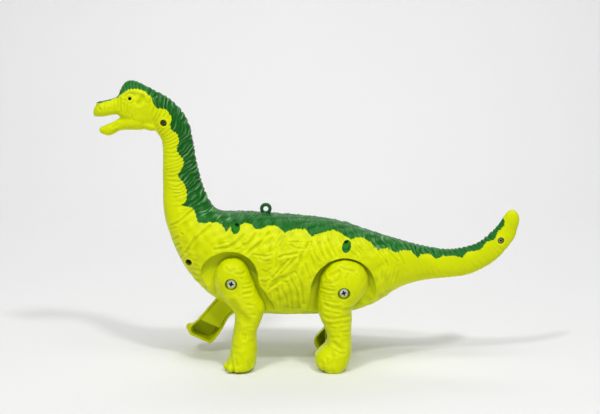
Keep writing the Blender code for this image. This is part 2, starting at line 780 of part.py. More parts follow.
def add_hip_boss(half, side):
    """The rear hip's boss and the front guide peg stand on the well's floor."""
    root = side * (WELL_FLOOR_Y - SHELL_WALL / 2)
    combine(half, prism(circle(HIP_BOSS_RADIUS, 14, *REAR_HIP), root, side * HUB_SEAT_Y), "UNION")
    pilot = HIP_SHANK_RADIUS + FIT_GAP
    bore_start = side * (HUB_SEAT_Y - HIP_SHANK_LENGTH - RUN_GAP)
    combine(half, prism(circle(pilot, 10, *REAR_HIP), bore_start, side * (HUB_SEAT_Y + RUN_GAP)))
    peg_end = side * (LEG_Y - PIN_SHY)
    peg_z = FRONT_AXLE_Z + GUIDE_PEG_RISE
    combine(half, prism(circle(GUIDE_PEG_RADIUS, 12, FRONT_HIP_X, peg_z), root, peg_end), "UNION")


def cut_screw_holes(left, right):
    """Five screws go in from the left, each to the floor of its hole near the seam."""
    far = BODY_HALF_WIDTH + OVERRUN
    wide = bmesh.new()
    narrow = bmesh.new()
    pilot = bmesh.new()
    for x, z in SHELL_SCREWS:
        seat = -SCREW_SEAT_DEPTH
        shank = SCREW_SHANK_RADIUS + SCREW_PILOT_GAP
        prism(circle(SCREW_HOLE_RADIUS, 14, x, z), seat, -far, wide)
        prism(circle(shank, 10, x, z), seat - FIT_GAP, FIT_GAP, narrow)
        prism(circle(shank, 10, x, z), -FIT_GAP, SCREW_SHANK_LENGTH - SCREW_SEAT_DEPTH + RUN_GAP, pilot)
    combine(left, wide)
    combine(left, narrow)
    combine(right, pilot)


def screw(mesh, x, z, seat_y, direction, head_radius, head_thickness, shank_radius, shank_length, sides=12):
    """A pan-head screw along Y: the head lies outwards from its seat, the shank goes the other way."""
    head_end = seat_y + direction * head_thickness
    shank_end = seat_y - direction * shank_length
    profile = [
        (head_end, 0),
        (head_end, head_radius * 0.72),
        (head_end - direction * head_thickness * 0.45, head_radius),
        (seat_y, head_radius),
        (seat_y, shank_radius),
        (shank_end + direction * shank_radius, shank_radius),
        (shank_end, 0),
    ]
    return turned(profile, sides, mesh, x, z)


def cross(mesh, x, z, head_end, direction, head_radius):
    """The driver's cross, as two bars laid over each other one after the other."""
    reach = head_radius * CROSS_REACH_SHARE
    half = CROSS_WIDTH / 2
    floor = head_end - direction * CROSS_DEPTH
    top = head_end + direction * RUN_GAP
    outline = [
        (-reach, -half), (-half, -half), (-half, -reach), (half, -reach), (half, -half), (reach, -half),
        (reach, half), (half, half), (half, reach), (-half, reach), (-half, half), (-reach, half),
    ]
    return prism([(x + px, z + pz) for px, pz in outline], floor, top, mesh)


def make_shell_screws(steel):
    seat = -SCREW_SEAT_DEPTH - FIT_GAP
    for name, (x, z) in zip(SHELL_SCREW_SHARES, SHELL_SCREWS):
        mesh = screw(
            None, x, z, seat, -1, SCREW_HEAD_RADIUS, SCREW_HEAD_THICKNESS, SCREW_SHANK_RADIUS,
            SCREW_SHANK_LENGTH, 8,
        )
        item = make_object(f"shell_screw_{name}", mesh, steel)
        smooth(combine(item, cross(None, x, z, seat - SCREW_HEAD_THICKNESS, -1, SCREW_HEAD_RADIUS)))


def eyelet_outline():
    """Ring, stem and foot in one outline, seen from the side."""
    ring = []
    half_stem = EYELET_STEM_WIDTH / 2
    drop = math.sqrt(EYELET_RADIUS**2 - half_stem**2)
    start = math.atan2(-drop, half_stem)
    steps = 14
    for step in range(steps + 1):
        angle = start + (2 * math.pi - 2 * (math.pi / 2 + start)) * step / steps
        ring.append((EYELET_X + EYELET_RADIUS * math.cos(angle), EYELET_Z + EYELET_RADIUS * math.sin(angle)))
    half_foot = EYELET_FOOT_WIDTH / 2
    bottom = EYELET_Z - EYELET_STEM_REACH
    shoulder = bottom + EYELET_FOOT_HEIGHT
    foot = [
        (EYELET_X - half_stem, shoulder), (EYELET_X - half_foot, shoulder), (EYELET_X - half_foot, bottom),
        (EYELET_X + half_foot, bottom), (EYELET_X + half_foot, shoulder), (EYELET_X + half_stem, shoulder),
    ]
    return ring + foot


def make_eyelet(green):
    half = EYELET_THICKNESS / 2
    item = make_object("back_eyelet", prism(eyelet_outline(), -half, half), green)
    hole = prism(circle(EYELET_HOLE_RADIUS, 16, EYELET_X, EYELET_Z), -half - OVERRUN, half + OVERRUN)
    return smooth(combine(item, hole))


def leg_skin(rows, length, thickness, side, wall=0.0, below=0.0):
    """A leg over its rows: flat on the inner side, rounded outside. A wall makes the smaller inner form."""
    level = squeezed(rows, length, wall)
    mesh = bmesh.new()
    loops = []
    for height, front, back, depth in rows:
        z = level(height)
        half = max((back - front) * length / 2 - wall, wall / 2)
        centre = (back + front) * length / 2
        reach = depth * thickness - wall
        loop = []
        for step in range(LEG_ARC_STEPS + 1):
            along, across = superellipse(math.pi * step / LEG_ARC_STEPS, LEG_POWER)
            loop.append(mesh.verts.new((centre + half * along, side * (LEG_Y + reach * across), z)))
        if below:
            loop.append(mesh.verts.new((centre - half, side * (LEG_Y - below), z)))
            loop.insert(0, mesh.verts.new((centre + half, side * (LEG_Y - below), z)))
        loops.append(loop)
    count = len(loops[0])
    for first, second in zip(loops, loops[1:]):
        for step in range(count):
            after = (step + 1) % count
            mesh.faces.new((first[step], first[after], second[after], second[step]))
    mesh.faces.new(loops[0])
    mesh.faces.new(loops[-1])
    face_out(mesh)
    return mesh


def squeezed(rows, length, wall):
    """How a height on the leg moves when the whole form is made smaller by a wall."""
    top = rows[0][0] * length
    bottom = rows[-1][0] * length
    middle = (top + bottom) / 2
    share = (top - bottom - 2 * wall) / (top - bottom)
    return lambda height: middle + (height * length - middle) * share


def cover_outline(rows, length, ankle, top):
    """The inner cover fits inside the leg's wall between the ankle and the thigh's top."""
    level = squeezed(rows, length, LEG_WALL)
    chosen = [row for row in rows if ankle < row[0] <= top]
    inset = LEG_WALL + COVER_GAP
    front = [(row[1] * length + inset, level(row[0])) for row in chosen]
    back = [(row[2] * length - inset, level(row[0])) for row in chosen]
    return front + back[::-1]


def slot_outline(x, z, radius, half_length, steps=5):
    """A round-ended slot along Z."""
    points = []
    for end, start in ((half_length, 0), (-half_length, math.pi)):
        for step in range(steps + 1):
            angle = start + math.pi * step / steps
            points.append((x + radius * math.cos(angle), z + end + radius * math.sin(angle)))
    return points


def make_leg(name, rows, length, thickness, side, parent, bore_radius, ribs, slot, plastic, dark):
    """The outer shell with its hub and ribs, and the cover plate that closes the thigh."""
    hub_radius = HIP_HEAD_RADIUS + RUN_GAP + HUB_WALL
    outer = make_object(f"leg_{name}_outer", leg_skin(rows, length, thickness, side), plastic, parent)
    hollow = make_object("hollow", leg_skin(rows, length, thickness, side, LEG_WALL, RUN_GAP))
    keep = bmesh.new()
    far = side * (LEG_Y + thickness + OVERRUN)
    near = side * (LEG_Y - OVERRUN)
    prism(circle(hub_radius, 16), near, far, keep)
    rib_start = side * (LEG_Y + thickness * FOOT_RIB_DEPTH_SHARE)
    for share in ribs:
        x = share * length
        rib = bar(x - FOOT_RIB_WALL / 2, x + FOOT_RIB_WALL / 2, -length, ANKLE_SHARE * length)
        prism(rib, rib_start, far, keep)
    combine(hollow, keep)
    hollow_mesh = bmesh.new()
    hollow_mesh.from_mesh(hollow.data)
    bpy.data.objects.remove(hollow)
    combine(outer, hollow_mesh)
    combine(outer, prism(circle(bore_radius, 16), near, side * (HUB_SEAT_Y + FIT_GAP)))
    combine(outer, prism(circle(HIP_HEAD_RADIUS + RUN_GAP, 16), side * HUB_SEAT_Y, far))
    smooth(outer)

    outline = cover_outline(rows, length, ANKLE_SHARE, COVER_TOP_SHARE if slot is None else rows[1][0])
    inner_y = side * LEG_Y
    cover = make_object(
        f"leg_{name}_inner", prism(outline, inner_y, inner_y + side * COVER_THICKNESS), dark, parent
    )
    combine(cover, prism(circle(hub_radius + FIT_GAP, 16), near, far))
    if slot:
        combine(cover, prism(slot_outline(0, *slot), near, far))
    smooth(cover)
    return outer, cover


def make_legs(plastic):
    """Four legs, each under an empty at its hip."""
    low_pin = FRONT_AXLE_Z - FRONT_THROW
    high_pin = FRONT_AXLE_Z + FRONT_THROW
    sleeve_outer = CRANK_PIN_RADIUS + FIT_GAP + SLEEVE_WALL
    front_bore = sleeve_outer + FIT_GAP
    rear_bore = HIP_BOSS_RADIUS + FIT_GAP
    slot_radius = DRIVE_PIN_RADIUS + FIT_GAP
    rear_slot = (REAR_LEVER, slot_radius, REAR_THROW + FIT_GAP)
    for name, side, z, swing in (
        ("front_left", -1, low_pin, FRONT_LEFT_SWING),
        ("front_right", 1, high_pin, FRONT_RIGHT_SWING),
    ):
        hip = pivot(f"hip_{name}", FRONT_HIP_X, z, swing)
        make_leg(
            name, FRONT_LEG_SHARES, FRONT_LEG_LENGTH, FRONT_LEG_THICKNESS, side, hip, front_bore,
            FOOT_RIB_SHARES, None, plastic, plastic,
        )
    for name, side in (("rear_left", -1), ("rear_right", 1)):
        hip = pivot(f"hip_{name}", REAR_HIP_X, REAR_HIP_Z)
        make_leg(
            name, REAR_LEG_SHARES, REAR_LEG_LENGTH, REAR_LEG_THICKNESS, side, hip, rear_bore,
            REAR_FOOT_RIB_SHARES, rear_slot, plastic, plastic,
        )


def make_hip_screws(steel):
    seat = HUB_SEAT_Y + FIT_GAP
    places = (
        ("front_left", -1, FRONT_HIP_X, FRONT_AXLE_Z - FRONT_THROW),
        ("front_right", 1, FRONT_HIP_X, FRONT_AXLE_Z + FRONT_THROW),
        ("rear_left", -1, REAR_HIP_X, REAR_HIP_Z),
        ("rear_right", 1, REAR_HIP_X, REAR_HIP_Z),
    )
    for name, side, x, z in places:
        mesh = screw(
            None, x, z, side * seat, side, HIP_HEAD_RADIUS, HIP_HEAD_THICKNESS, HIP_SHANK_RADIUS,
            HIP_SHANK_LENGTH, 12,
        )
        item = make_object(f"hip_screw_{name}", mesh, steel)
        head_end = side * (seat + HIP_HEAD_THICKNESS)
        smooth(combine(item, cross(None, x, z, head_end, side, HIP_HEAD_RADIUS)))


def make_cranks(steel, plastic):
    """Axles, crank gears and discs. The left front pin is down and the right one up."""
    axle_end = DISC_OUTER_Y - DISC_THICKNESS + AXLE_SINK
    disc_inner = DISC_OUTER_Y - DISC_THICKNESS
    for name, place, throw, pin_radius, left_up in (
        ("front", FRONT_AXLE, FRONT_THROW, CRANK_PIN_RADIUS, -1),
        ("rear", REAR_AXLE, REAR_THROW, DRIVE_PIN_RADIUS, 1),
    ):
        axis = pivot(f"{name}_crank_axis", *place)
        rod = prism(circle(AXLE_RADIUS, 12), -axle_end, axle_end)
        smooth(make_object(f"{name}_axle", rod, steel, axis))
        for side, side_name in ((-1, "left"), (1, "right")):
            disc = make_object(
                f"crank_disc_{name}_{side_name}",
                prism(circle(DISC_RADIUS, 16), side * disc_inner, side * DISC_OUTER_Y),
                plastic,
                axis,
            )
            bore = prism(circle(AXLE_RADIUS + FIT_GAP, 12), 0, side * (axle_end + FIT_GAP))
            combine(disc, bore)
            pin_z = throw * left_up * (1 if side < 0 else -1)
            pin_end = HUB_SEAT_Y if name == "front" else LEG_Y - PIN_SHY
            pin_start = side * (DISC_OUTER_Y - FIT_GAP)
            combine(disc, prism(circle(pin_radius, 14, 0, pin_z), pin_start, side * pin_end), "UNION")
            if name == "front":
                pilot = HIP_SHANK_RADIUS + FIT_GAP
                start = side * (HUB_SEAT_Y - HIP_SHANK_LENGTH - RUN_GAP)
                combine(disc, prism(circle(pilot, 10, 0, pin_z), start, side * (HUB_SEAT_Y + RUN_GAP)))
                make_sleeve(side_name, side, pin_z, plastic, axis)
            smooth(disc)


def make_sleeve(side_name, side, pin_z, plastic, axis):
    inner = CRANK_PIN_RADIUS + FIT_GAP
    start = side * (LEG_Y + FIT_GAP)
    end = side * (HUB_SEAT_Y - FIT_GAP)
    sleeve = make_object(
        f"hub_sleeve_front_{side_name}", prism(circle(inner + SLEEVE_WALL, 16, 0, pin_z), start, end), plastic, axis
    )
    smooth(combine(sleeve, prism(circle(inner, 16, 0, pin_z), 0, 2 * end)))


def make_gears(plastic, brass):
    """The chain from crank to crank and the reduction from the motor, each gear meshed to its driver."""
    front_phase = 0.0
    idler_a_phase = meshed_phase(IDLER_A, IDLER_TEETH, FRONT_AXLE, CRANK_TEETH, front_phase)
    idler_b_phase = meshed_phase(IDLER_B, IDLER_TEETH, IDLER_A, IDLER_TEETH, idler_a_phase)
    rear_phase = meshed_phase(REAR_AXLE, CRANK_TEETH, IDLER_B, IDLER_TEETH, idler_b_phase)
    second_phase = meshed_phase(SECOND_GEAR, SECOND_PINION_TEETH, IDLER_A, IDLER_TEETH, idler_a_phase)
    first_phase = meshed_phase(FIRST_GEAR, FIRST_PINION_TEETH, SECOND_GEAR, SECOND_WHEEL_TEETH, 0.0)
    motor_phase = meshed_phase(MOTOR, MOTOR_TEETH, FIRST_GEAR, FIRST_WHEEL_TEETH, 0.0)
    chain = CHAIN_MODULE
    fast = FAST_MODULE
    wide_bore = AXLE_RADIUS + FIT_GAP
    fast_bore = FAST_SHAFT_RADIUS + FIT_GAP
    motor_bore = MOTOR_SHAFT_RADIUS + FIT_GAP
    rows = (
        ("front_crank_gear", FRONT_AXLE, wide_bore, ((chain, CRANK_TEETH, front_phase, THIRD_FACE),)),
        ("rear_crank_gear", REAR_AXLE, wide_bore, ((chain, CRANK_TEETH, rear_phase, THIRD_FACE),)),
        ("idler_gear_a", IDLER_A, wide_bore, ((chain, IDLER_TEETH, idler_a_phase, THIRD_FACE),)),
        ("idler_gear_b", IDLER_B, wide_bore, ((chain, IDLER_TEETH, idler_b_phase, THIRD_FACE),)),
        (
            "reduction_gear_2", SECOND_GEAR, fast_bore,
            (
                (fast, SECOND_WHEEL_TEETH, 0.0, SECOND_FACE),
                (chain, SECOND_PINION_TEETH, second_phase, (SECOND_FACE[0], THIRD_FACE[1])),
            ),
        ),
        (
            "reduction_gear_1", FIRST_GEAR, fast_bore,
            (
                (fast, FIRST_WHEEL_TEETH, 0.0, FIRST_FACE),
                (fast, FIRST_PINION_TEETH, first_phase, (FIRST_FACE[0], SECOND_FACE[1])),
            ),
        ),
        ("motor_pinion", MOTOR, motor_bore, ((fast, MOTOR_TEETH, motor_phase, FIRST_FACE),)),
    )
    for name, place, bore, wheels in rows:
        axis = pivot(f"{name}_axis", *place)
        module, teeth, phase, face = wheels[0]
        gear = make_object(name, prism(gear_outline(module, teeth, phase), *face), plastic, axis)
        for module, teeth, phase, face in wheels[1:]:
            combine(gear, prism(gear_outline(module, teeth, phase), *face), "UNION")
        combine(gear, prism(circle(bore, 12), -OVERRUN, OVERRUN))
        gear.data.materials.clear()
        gear.data.materials.append(brass if name == "motor_pinion" else plastic)
        smooth(gear)


def make_gearbox(plastic, steel):
    """Two side plates held apart by posts. The right one also carries the idlers' pins."""
    margin = []
    for place in (FRONT_AXLE, REAR_AXLE, IDLER_A, IDLER_B, FIRST_GEAR, SECOND_GEAR, *POSTS):
        margin += circle(PLATE_MARGIN, 10, *place)
    outline = hull(margin)
    holes = bmesh.new()
    for place in (FRONT_AXLE, REAR_AXLE):
        prism(circle(AXLE_RADIUS + RUN_GAP, 12, *place), -OVERRUN, OVERRUN, holes)
    for place in (FIRST_GEAR, SECOND_GEAR):
        prism(circle(FAST_SHAFT_RADIUS + FIT_GAP, 10, *place), -OVERRUN, OVERRUN, holes)
    left_holes = prism(circle(MOTOR_SHAFT_RADIUS + RUN_GAP, 12, *MOTOR), -OVERRUN, OVERRUN)
    for place in (IDLER_A, IDLER_B):
        prism(circle(AXLE_RADIUS + FIT_GAP, 12, *place), -OVERRUN, OVERRUN, left_holes)

    left = make_object("gearbox_left", prism(outline, *LEFT_PLATE), plastic)
    combine(left, holes.copy())
    combine(left, left_holes)
    screw_holes = bmesh.new()
    pilots = bmesh.new()
    posts = bmesh.new()
    shank = SCREW_SHANK_RADIUS
    for place in POSTS:
        prism(circle(POST_RADIUS, 10, *place), LEFT_PLATE[1] + FIT_GAP, RIGHT_PLATE[0] + FIT_GAP, posts)
    for place in (IDLER_A, IDLER_B):
        prism(circle(AXLE_RADIUS, 12, *place), LEFT_PLATE[0], RIGHT_PLATE[0] + FIT_GAP, posts)
    for number, (x, z) in enumerate(POSTS[:3], 1):
        prism(circle(shank + FIT_GAP, 10, x, z), -OVERRUN, LEFT_PLATE[1] + RUN_GAP, screw_holes)
        pilot_end = LEFT_PLATE[0] + PLATE_SCREW_LENGTH + RUN_GAP
        prism(circle(shank + FIT_GAP, 10, x, z), LEFT_PLATE[1], pilot_end, pilots)
        mesh = screw(
            None, x, z, LEFT_PLATE[0] - FIT_GAP, -1, PLATE_SCREW_HEAD_RADIUS, PLATE_SCREW_HEAD_THICKNESS,
            shank, PLATE_SCREW_LENGTH, 8,
        )
        smooth(make_object(f"gearbox_screw_{number}", mesh, steel))
    combine(left, screw_holes)
    smooth(left)
    right = make_object("gearbox_right", prism(outline, *RIGHT_PLATE), plastic)
    combine(right, holes)
    combine(right, posts, "UNION")
    combine(right, pilots)
    smooth(right)
    for number, place in ((1, FIRST_GEAR), (2, SECOND_GEAR)):
        rod = prism(circle(FAST_SHAFT_RADIUS, 10, *place), LEFT_PLATE[0], RIGHT_PLATE[1])
        smooth(make_object(f"reduction_axle_{number}", rod, steel))


def make_motor(steel, white):
    """A small flat-sided motor, its shaft towards the gears."""
    front = LEFT_PLATE[0] - FIT_GAP
    can_end = front - MOTOR_LENGTH
    cap_end = can_end - FIT_GAP - MOTOR_CAP_LENGTH
    can = make_object("motor_can", prism(circle(MOTOR_RADIUS, 20, *MOTOR), front, can_end), steel)
    flats = bar(
        MOTOR[0] - MOTOR_RADIUS - OVERRUN, MOTOR[0] + MOTOR_RADIUS + OVERRUN,
        MOTOR[1] - MOTOR_FLAT_HALF, MOTOR[1] + MOTOR_FLAT_HALF,
    )
    combine(can, prism(flats, front + OVERRUN, can_end - OVERRUN), "INTERSECT")
    bore = MOTOR_SHAFT_RADIUS + FIT_GAP
    combine(can, prism(circle(bore, 12, *MOTOR), front + RUN_GAP, front - MOTOR_LENGTH / 2))
    smooth(can)
    cap = make_object(
        "motor_end_cap",
        prism(circle(MOTOR_RADIUS - SHELL_WALL / 2, 20, *MOTOR), can_end - FIT_GAP, cap_end),
        white,
    )
    inner_flats = bar(
        MOTOR[0] - MOTOR_RADIUS - OVERRUN, MOTOR[0] + MOTOR_RADIUS + OVERRUN,
        MOTOR[1] - MOTOR_FLAT_HALF + SHELL_WALL / 2, MOTOR[1] + MOTOR_FLAT_HALF - SHELL_WALL / 2,
    )
    combine(cap, prism(inner_flats, can_end + OVERRUN, cap_end - OVERRUN), "INTERSECT")
    smooth(cap)
    axis = pivot("motor_axis", *MOTOR)
    rod = prism(circle(MOTOR_SHAFT_RADIUS, 12), front - MOTOR_LENGTH / 2 + RUN_GAP, FIRST_FACE[1])
    smooth(make_object("motor_shaft", rod, steel, axis))
    return cap_end


def block(x_low, x_high, y_low, y_high, z_low, z_high, mesh=None):
    return prism(bar(x_low, x_high, z_low, z_high), y_low, y_high, mesh)


def make_battery_parts(plastic, steel, cell_material):
    """The box hangs between the leg wells, open below, with the two cells side by side."""
    wall_y = CHANNEL_Y - FIT_GAP
    cell_y = CELL_RADIUS + FIT_GAP
    inside_y = 2 * cell_y
    box = make_object(
        "battery_box",
        block(BOX_START_X - BOX_WALL, BOX_END_X + BOX_WALL, -wall_y, wall_y, BOX_BOTTOM_Z, BOX_TOP_Z),
        plastic,
    )
    combine(box, block(BOX_START_X, BOX_END_X, -inside_y, inside_y, BOX_BOTTOM_Z - OVERRUN, BOX_LID_Z))
    boss = prism(circle(BOX_BOSS_RADIUS, 12), BOX_BOTTOM_Z - FIT_GAP, BOX_TOP_Z - FIT_GAP)
    upright(boss, DOOR_SCREW_X)
    combine(box, boss, "UNION")
    bore = prism(
        circle(SCREW_SHANK_RADIUS + DOOR_SCREW_SWING_GAP, 12),
        BOX_BOTTOM_Z - OVERRUN,
        DOOR_SCREW_TOP_Z + RUN_GAP,
    )
    upright(bore, DOOR_SCREW_X)
    smooth(combine(box, bore))

    cell_start = BOX_START_X + SPRING_ROOM
    for name, side, nub in (("battery_cell_left", -1, 1), ("battery_cell_right", 1, -1)):
        body = CELL_LENGTH - CELL_NUB_LENGTH
        middle = cell_start + CELL_LENGTH / 2
        profile = [
            (-CELL_LENGTH / 2, 0), (-CELL_LENGTH / 2, CELL_RADIUS), (body - CELL_LENGTH / 2, CELL_RADIUS),
            (body - CELL_LENGTH / 2, CELL_NUB_RADIUS), (CELL_LENGTH / 2, CELL_NUB_RADIUS), (CELL_LENGTH / 2, 0),
        ]
        mesh = turned(profile, 16)
        for vert in mesh.verts:
            vert.co = Vector((middle + nub * vert.co.y, side * cell_y + vert.co.x, CELL_Z + vert.co.z))
        face_out(mesh)
        smooth(make_object(name, mesh, cell_material))

    bottom = CELL_Z - CONTACT_HEIGHT / 2
    top = CELL_Z + CONTACT_HEIGHT / 2
    start = BOX_START_X + FIT_GAP
    end = BOX_END_X - FIT_GAP
    half = CONTACT_WIDTH / 2
    for side, name in ((-1, "left"), (1, "right")):
        low = side * cell_y - half
        plate = block(start, start + CONTACT_THICKNESS, low, low + CONTACT_WIDTH, bottom, top)
        make_object(f"battery_contact_{name}", plate, steel)
    bridge = block(end - CONTACT_THICKNESS, end, -cell_y - half, cell_y + half, bottom, top)
    make_object("battery_contact_bridge", bridge, steel)
    make_springs(cell_start, cell_y, steel)


def make_springs(cell_start, cell_y, steel):
    """A conical coil at the front end of each cell."""
    wire = SPRING_WIRE_RADIUS
    start = BOX_START_X + 2 * FIT_GAP + CONTACT_THICKNESS + wire
    length = cell_start - FIT_GAP - wire - start
    count = SPRING_TURNS * SPRING_POINTS_PER_TURN
    for side, name in ((-1, "left"), (1, "right")):
        places = []
        for step in range(count + 1):
            share = step / count
            radius = SPRING_BIG_RADIUS + (SPRING_SMALL_RADIUS - SPRING_BIG_RADIUS) * share
            angle = 2 * math.pi * SPRING_TURNS * share
            places.append(
                (
                    start + length * share,
                    side * cell_y + radius * math.cos(angle),
                    CELL_Z + radius * math.sin(angle),
                )
            )
        make_tube(f"battery_spring_{name}", places, wire, steel)


def make_tube(name, places, radius, material):
    """A round wire through the places."""
    curve = bpy.data.curves.new(name, "CURVE")
    curve.dimensions = "3D"
    curve.bevel_depth = radius
    curve.bevel_resolution = 1
    curve.use_fill_caps = True
    spline = curve.splines.new("POLY")
    spline.points.add(len(places) - 1)
    for point, place in zip(spline.points, places):
        point.co = (*place, 1)
    curve.materials.append(material)
    item = bpy.data.objects.new(name, curve)
    bpy.context.scene.collection.objects.link(item)


def make_door_screw(steel):
    seat = DOOR_SCREW_SEAT_Z - FIT_GAP
    mesh = screw(
        None, 0, 0, -seat, 1, DOOR_SCREW_HEAD_RADIUS, DOOR_SCREW_HEAD_THICKNESS, SCREW_SHANK_RADIUS,
        DOOR_SCREW_TOP_Z - seat, 10,
    )
    for vert in mesh.verts:
        vert.co = Vector((DOOR_SCREW_X + vert.co.x, vert.co.z, -vert.co.y))
    face_out(mesh)
    smooth(make_object("battery_door_screw", mesh, steel))


def make_switch(dark):
    half = SWITCH_WIDTH / 2
    start = SWITCH_X - SWITCH_LENGTH / 2
    top = SWITCH_BOTTOM_Z + SWITCH_HEIGHT
    body = make_object(
        "switch_body", block(start, start + SWITCH_LENGTH, -half, half, SWITCH_BOTTOM_Z, top), dark
    )
    pocket_half = SLIDER_SHOE_LENGTH / 2 + SLIDER_TRAVEL / 2 + FIT_GAP
    shoe_top = SWITCH_BOTTOM_Z + FIT_GAP + SLIDER_SHOE_HEIGHT
    side = SLIDER_WIDTH / 2 + FIT_GAP
    combine(
        body,
        block(
            SWITCH_X - pocket_half, SWITCH_X + pocket_half, -side, side,
            SWITCH_BOTTOM_Z - OVERRUN, shoe_top + FIT_GAP,
        ),
    )
    axis = pivot("switch_axis", SWITCH_X, SWITCH_BOTTOM_Z)
    rest = -SLIDER_TRAVEL / 2
    shoe_low = FIT_GAP
    slider = make_object(
        "switch_slider",
        block(
            rest - SLIDER_SHOE_LENGTH / 2, rest + SLIDER_SHOE_LENGTH / 2, -SLIDER_WIDTH / 2, SLIDER_WIDTH / 2,
            shoe_low, shoe_low + SLIDER_SHOE_HEIGHT,
        ),
        dark,
        axis,
    )
    stem = block(
        rest - SLIDER_LENGTH / 2, rest + SLIDER_LENGTH / 2, -SLIDER_WIDTH / 2 + FIT_GAP, SLIDER_WIDTH / 2 - FIT_GAP,
        SLIDER_BOTTOM_Z - SWITCH_BOTTOM_Z, shoe_low + SLIDER_SHOE_HEIGHT / 2,
    )
    combine(slider, stem, "UNION")


def make_wires(cap_end, red, black):
    """Two wires from the front end of the battery box, past the motor's can, to its end cap."""
    clear = WIRE_RADIUS + FIT_GAP
    cell_y = CELL_RADIUS + FIT_GAP
    cap_radius = MOTOR_RADIUS - SHELL_WALL / 2
    cap_y = cap_end + MOTOR_CAP_LENGTH / 2
    beside_can = MOTOR[0] - MOTOR_RADIUS - 3 * clear
    for name, step, material in (("wire_red", 1, red), ("wire_black", -1, black)):
        rise = step * WIRE_SIDE_STEP / 2
        start_y = -cell_y + rise
        end_x = MOTOR[0] - math.sqrt(cap_radius**2 - rise**2) - clear
        route = [
            (BOX_START_X + BOX_WALL, start_y, BOX_TOP_Z + clear),
            (BOX_START_X + CELL_RADIUS, start_y, BOX_TOP_Z + clear + WIRE_RADIUS),
            (beside_can - clear, start_y - CELL_RADIUS, MOTOR[1] - WIRE_SIDE_STEP + rise),
            (beside_can, cap_y + CELL_RADIUS / 2 + rise, MOTOR[1] + rise),
            (end_x, cap_y, MOTOR[1] + rise),
        ]
        make_tube(name, smooth_route(route, 4), WIRE_RADIUS, material)


def smooth_route(route, steps):
    """Points on a smooth curve through the route's own points."""
    route = [Vector(place) for place in route]
    padded = [route[0], *route, route[-1]]
    points = []
    for index in range(1, len(padded) - 2):
        a, b, c, d = padded[index - 1 : index + 3]
        for step in range(steps):
            t = step / steps
            points.append(
                0.5 * (2 * b + (c - a) * t + (2 * a - 5 * b + 4 * c - d) * t**2 + (3 * b - a - 3 * c + d) * t**3)
            )
    return points + [route[-1]]


def main():
    for item in list(bpy.data.objects):
        bpy.data.objects.remove(item, do_unlink=True)
    plastic = make_material("lime_plastic", (0.62, 0.72, 0.008), 0.38)
    green = make_material("green_paint", (0.03, 0.2, 0.035), 0.35)
    white = make_material("natural_plastic", (0.8, 0.78, 0.7), 0.5)
    dark = make_material("black_plastic", (0.02, 0.02, 0.02), 0.45)
    red = make_material("red_insulation", (0.5, 0.01, 0.01), 0.45)
    steel = make_material("plated_steel", (0.6, 0.6, 0.58), 0.3, 1.0)
    brass = make_material("brass", (0.7, 0.5, 0.2), 0.35, 1.0)
    cell = make_material("cell_wrapper", (0.05, 0.09, 0.3), 0.4)
    make_shells(plastic)
    make_eyelet(green)
    make_shell_screws(steel)
    make_legs(plastic)
    make_hip_screws(steel)
    make_cranks(steel, white)
    make_gears(white, brass)
    make_gearbox(white, steel)
    cap_end = make_motor(steel, white)
    make_battery_parts(dark, steel, cell)
    make_door_screw(steel)
    make_switch(dark)
    make_wires(cap_end, red, dark)


main()
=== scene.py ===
# %% [markdown]
# A walking long-necked dinosaur toy: a hollow body of two moulded halves, four legs that stride, and a
# gear train inside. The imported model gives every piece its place, and this script gives the pieces that
# show their real surface: the folds of the skin, the sprayed back, the screws and the plastic itself.

import json
import math

import bmesh
import bpy
import numpy as np
from mathutils import Matrix, Vector


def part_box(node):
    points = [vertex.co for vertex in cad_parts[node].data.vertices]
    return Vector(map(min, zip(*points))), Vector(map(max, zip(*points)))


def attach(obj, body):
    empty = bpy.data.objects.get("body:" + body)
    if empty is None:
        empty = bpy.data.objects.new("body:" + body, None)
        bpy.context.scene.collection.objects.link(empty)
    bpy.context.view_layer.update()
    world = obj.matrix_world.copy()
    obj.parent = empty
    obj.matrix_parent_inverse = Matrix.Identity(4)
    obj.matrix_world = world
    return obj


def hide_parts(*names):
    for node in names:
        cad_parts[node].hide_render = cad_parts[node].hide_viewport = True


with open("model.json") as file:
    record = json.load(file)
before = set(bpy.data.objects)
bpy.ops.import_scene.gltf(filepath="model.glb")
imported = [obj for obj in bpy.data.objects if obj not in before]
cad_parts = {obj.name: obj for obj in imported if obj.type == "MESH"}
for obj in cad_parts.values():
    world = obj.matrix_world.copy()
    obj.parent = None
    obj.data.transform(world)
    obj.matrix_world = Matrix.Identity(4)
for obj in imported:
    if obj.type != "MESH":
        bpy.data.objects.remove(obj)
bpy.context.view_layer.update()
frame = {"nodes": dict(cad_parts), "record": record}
scene = bpy.context.scene

# %% [markdown]
# The camera comes first. The photograph was taken with a long lens from a little above the toy, from its
# left side: the floor's far edge lies out of view, so the back shows slightly and the belly doesn't.

# %% Camera
SENSOR_WIDTH = 0.036
LENS_MM = 79.0
CAMERA_PLACE = Vector((-0.0055, -0.93, 0.25))
CAMERA_DIP = math.radians(8.4)

camera_data = bpy.data.cameras.new("camera")
camera_data.lens = LENS_MM
camera_data.sensor_width = SENSOR_WIDTH * 1000
camera = bpy.data.objects.new("camera", camera_data)
camera.location = CAMERA_PLACE
camera.rotation_euler = (math.pi / 2 - CAMERA_DIP, 0, 0)
scene.collection.objects.link(camera)
scene.camera = camera
scene.view_settings.view_transform = "Standard"
print("camera", LENS_MM, "mm lens at", tuple(CAMERA_PLACE))

# %% [markdown]
# The skin is lofted. Each row of a table is one cross-section, seen from the side: where its back is,
# where its belly is, and how wide it is there. Rows are shares of the body's length, height and half
# width, so the table reads as a drawing. A smooth curve through the rows gives the sections between.

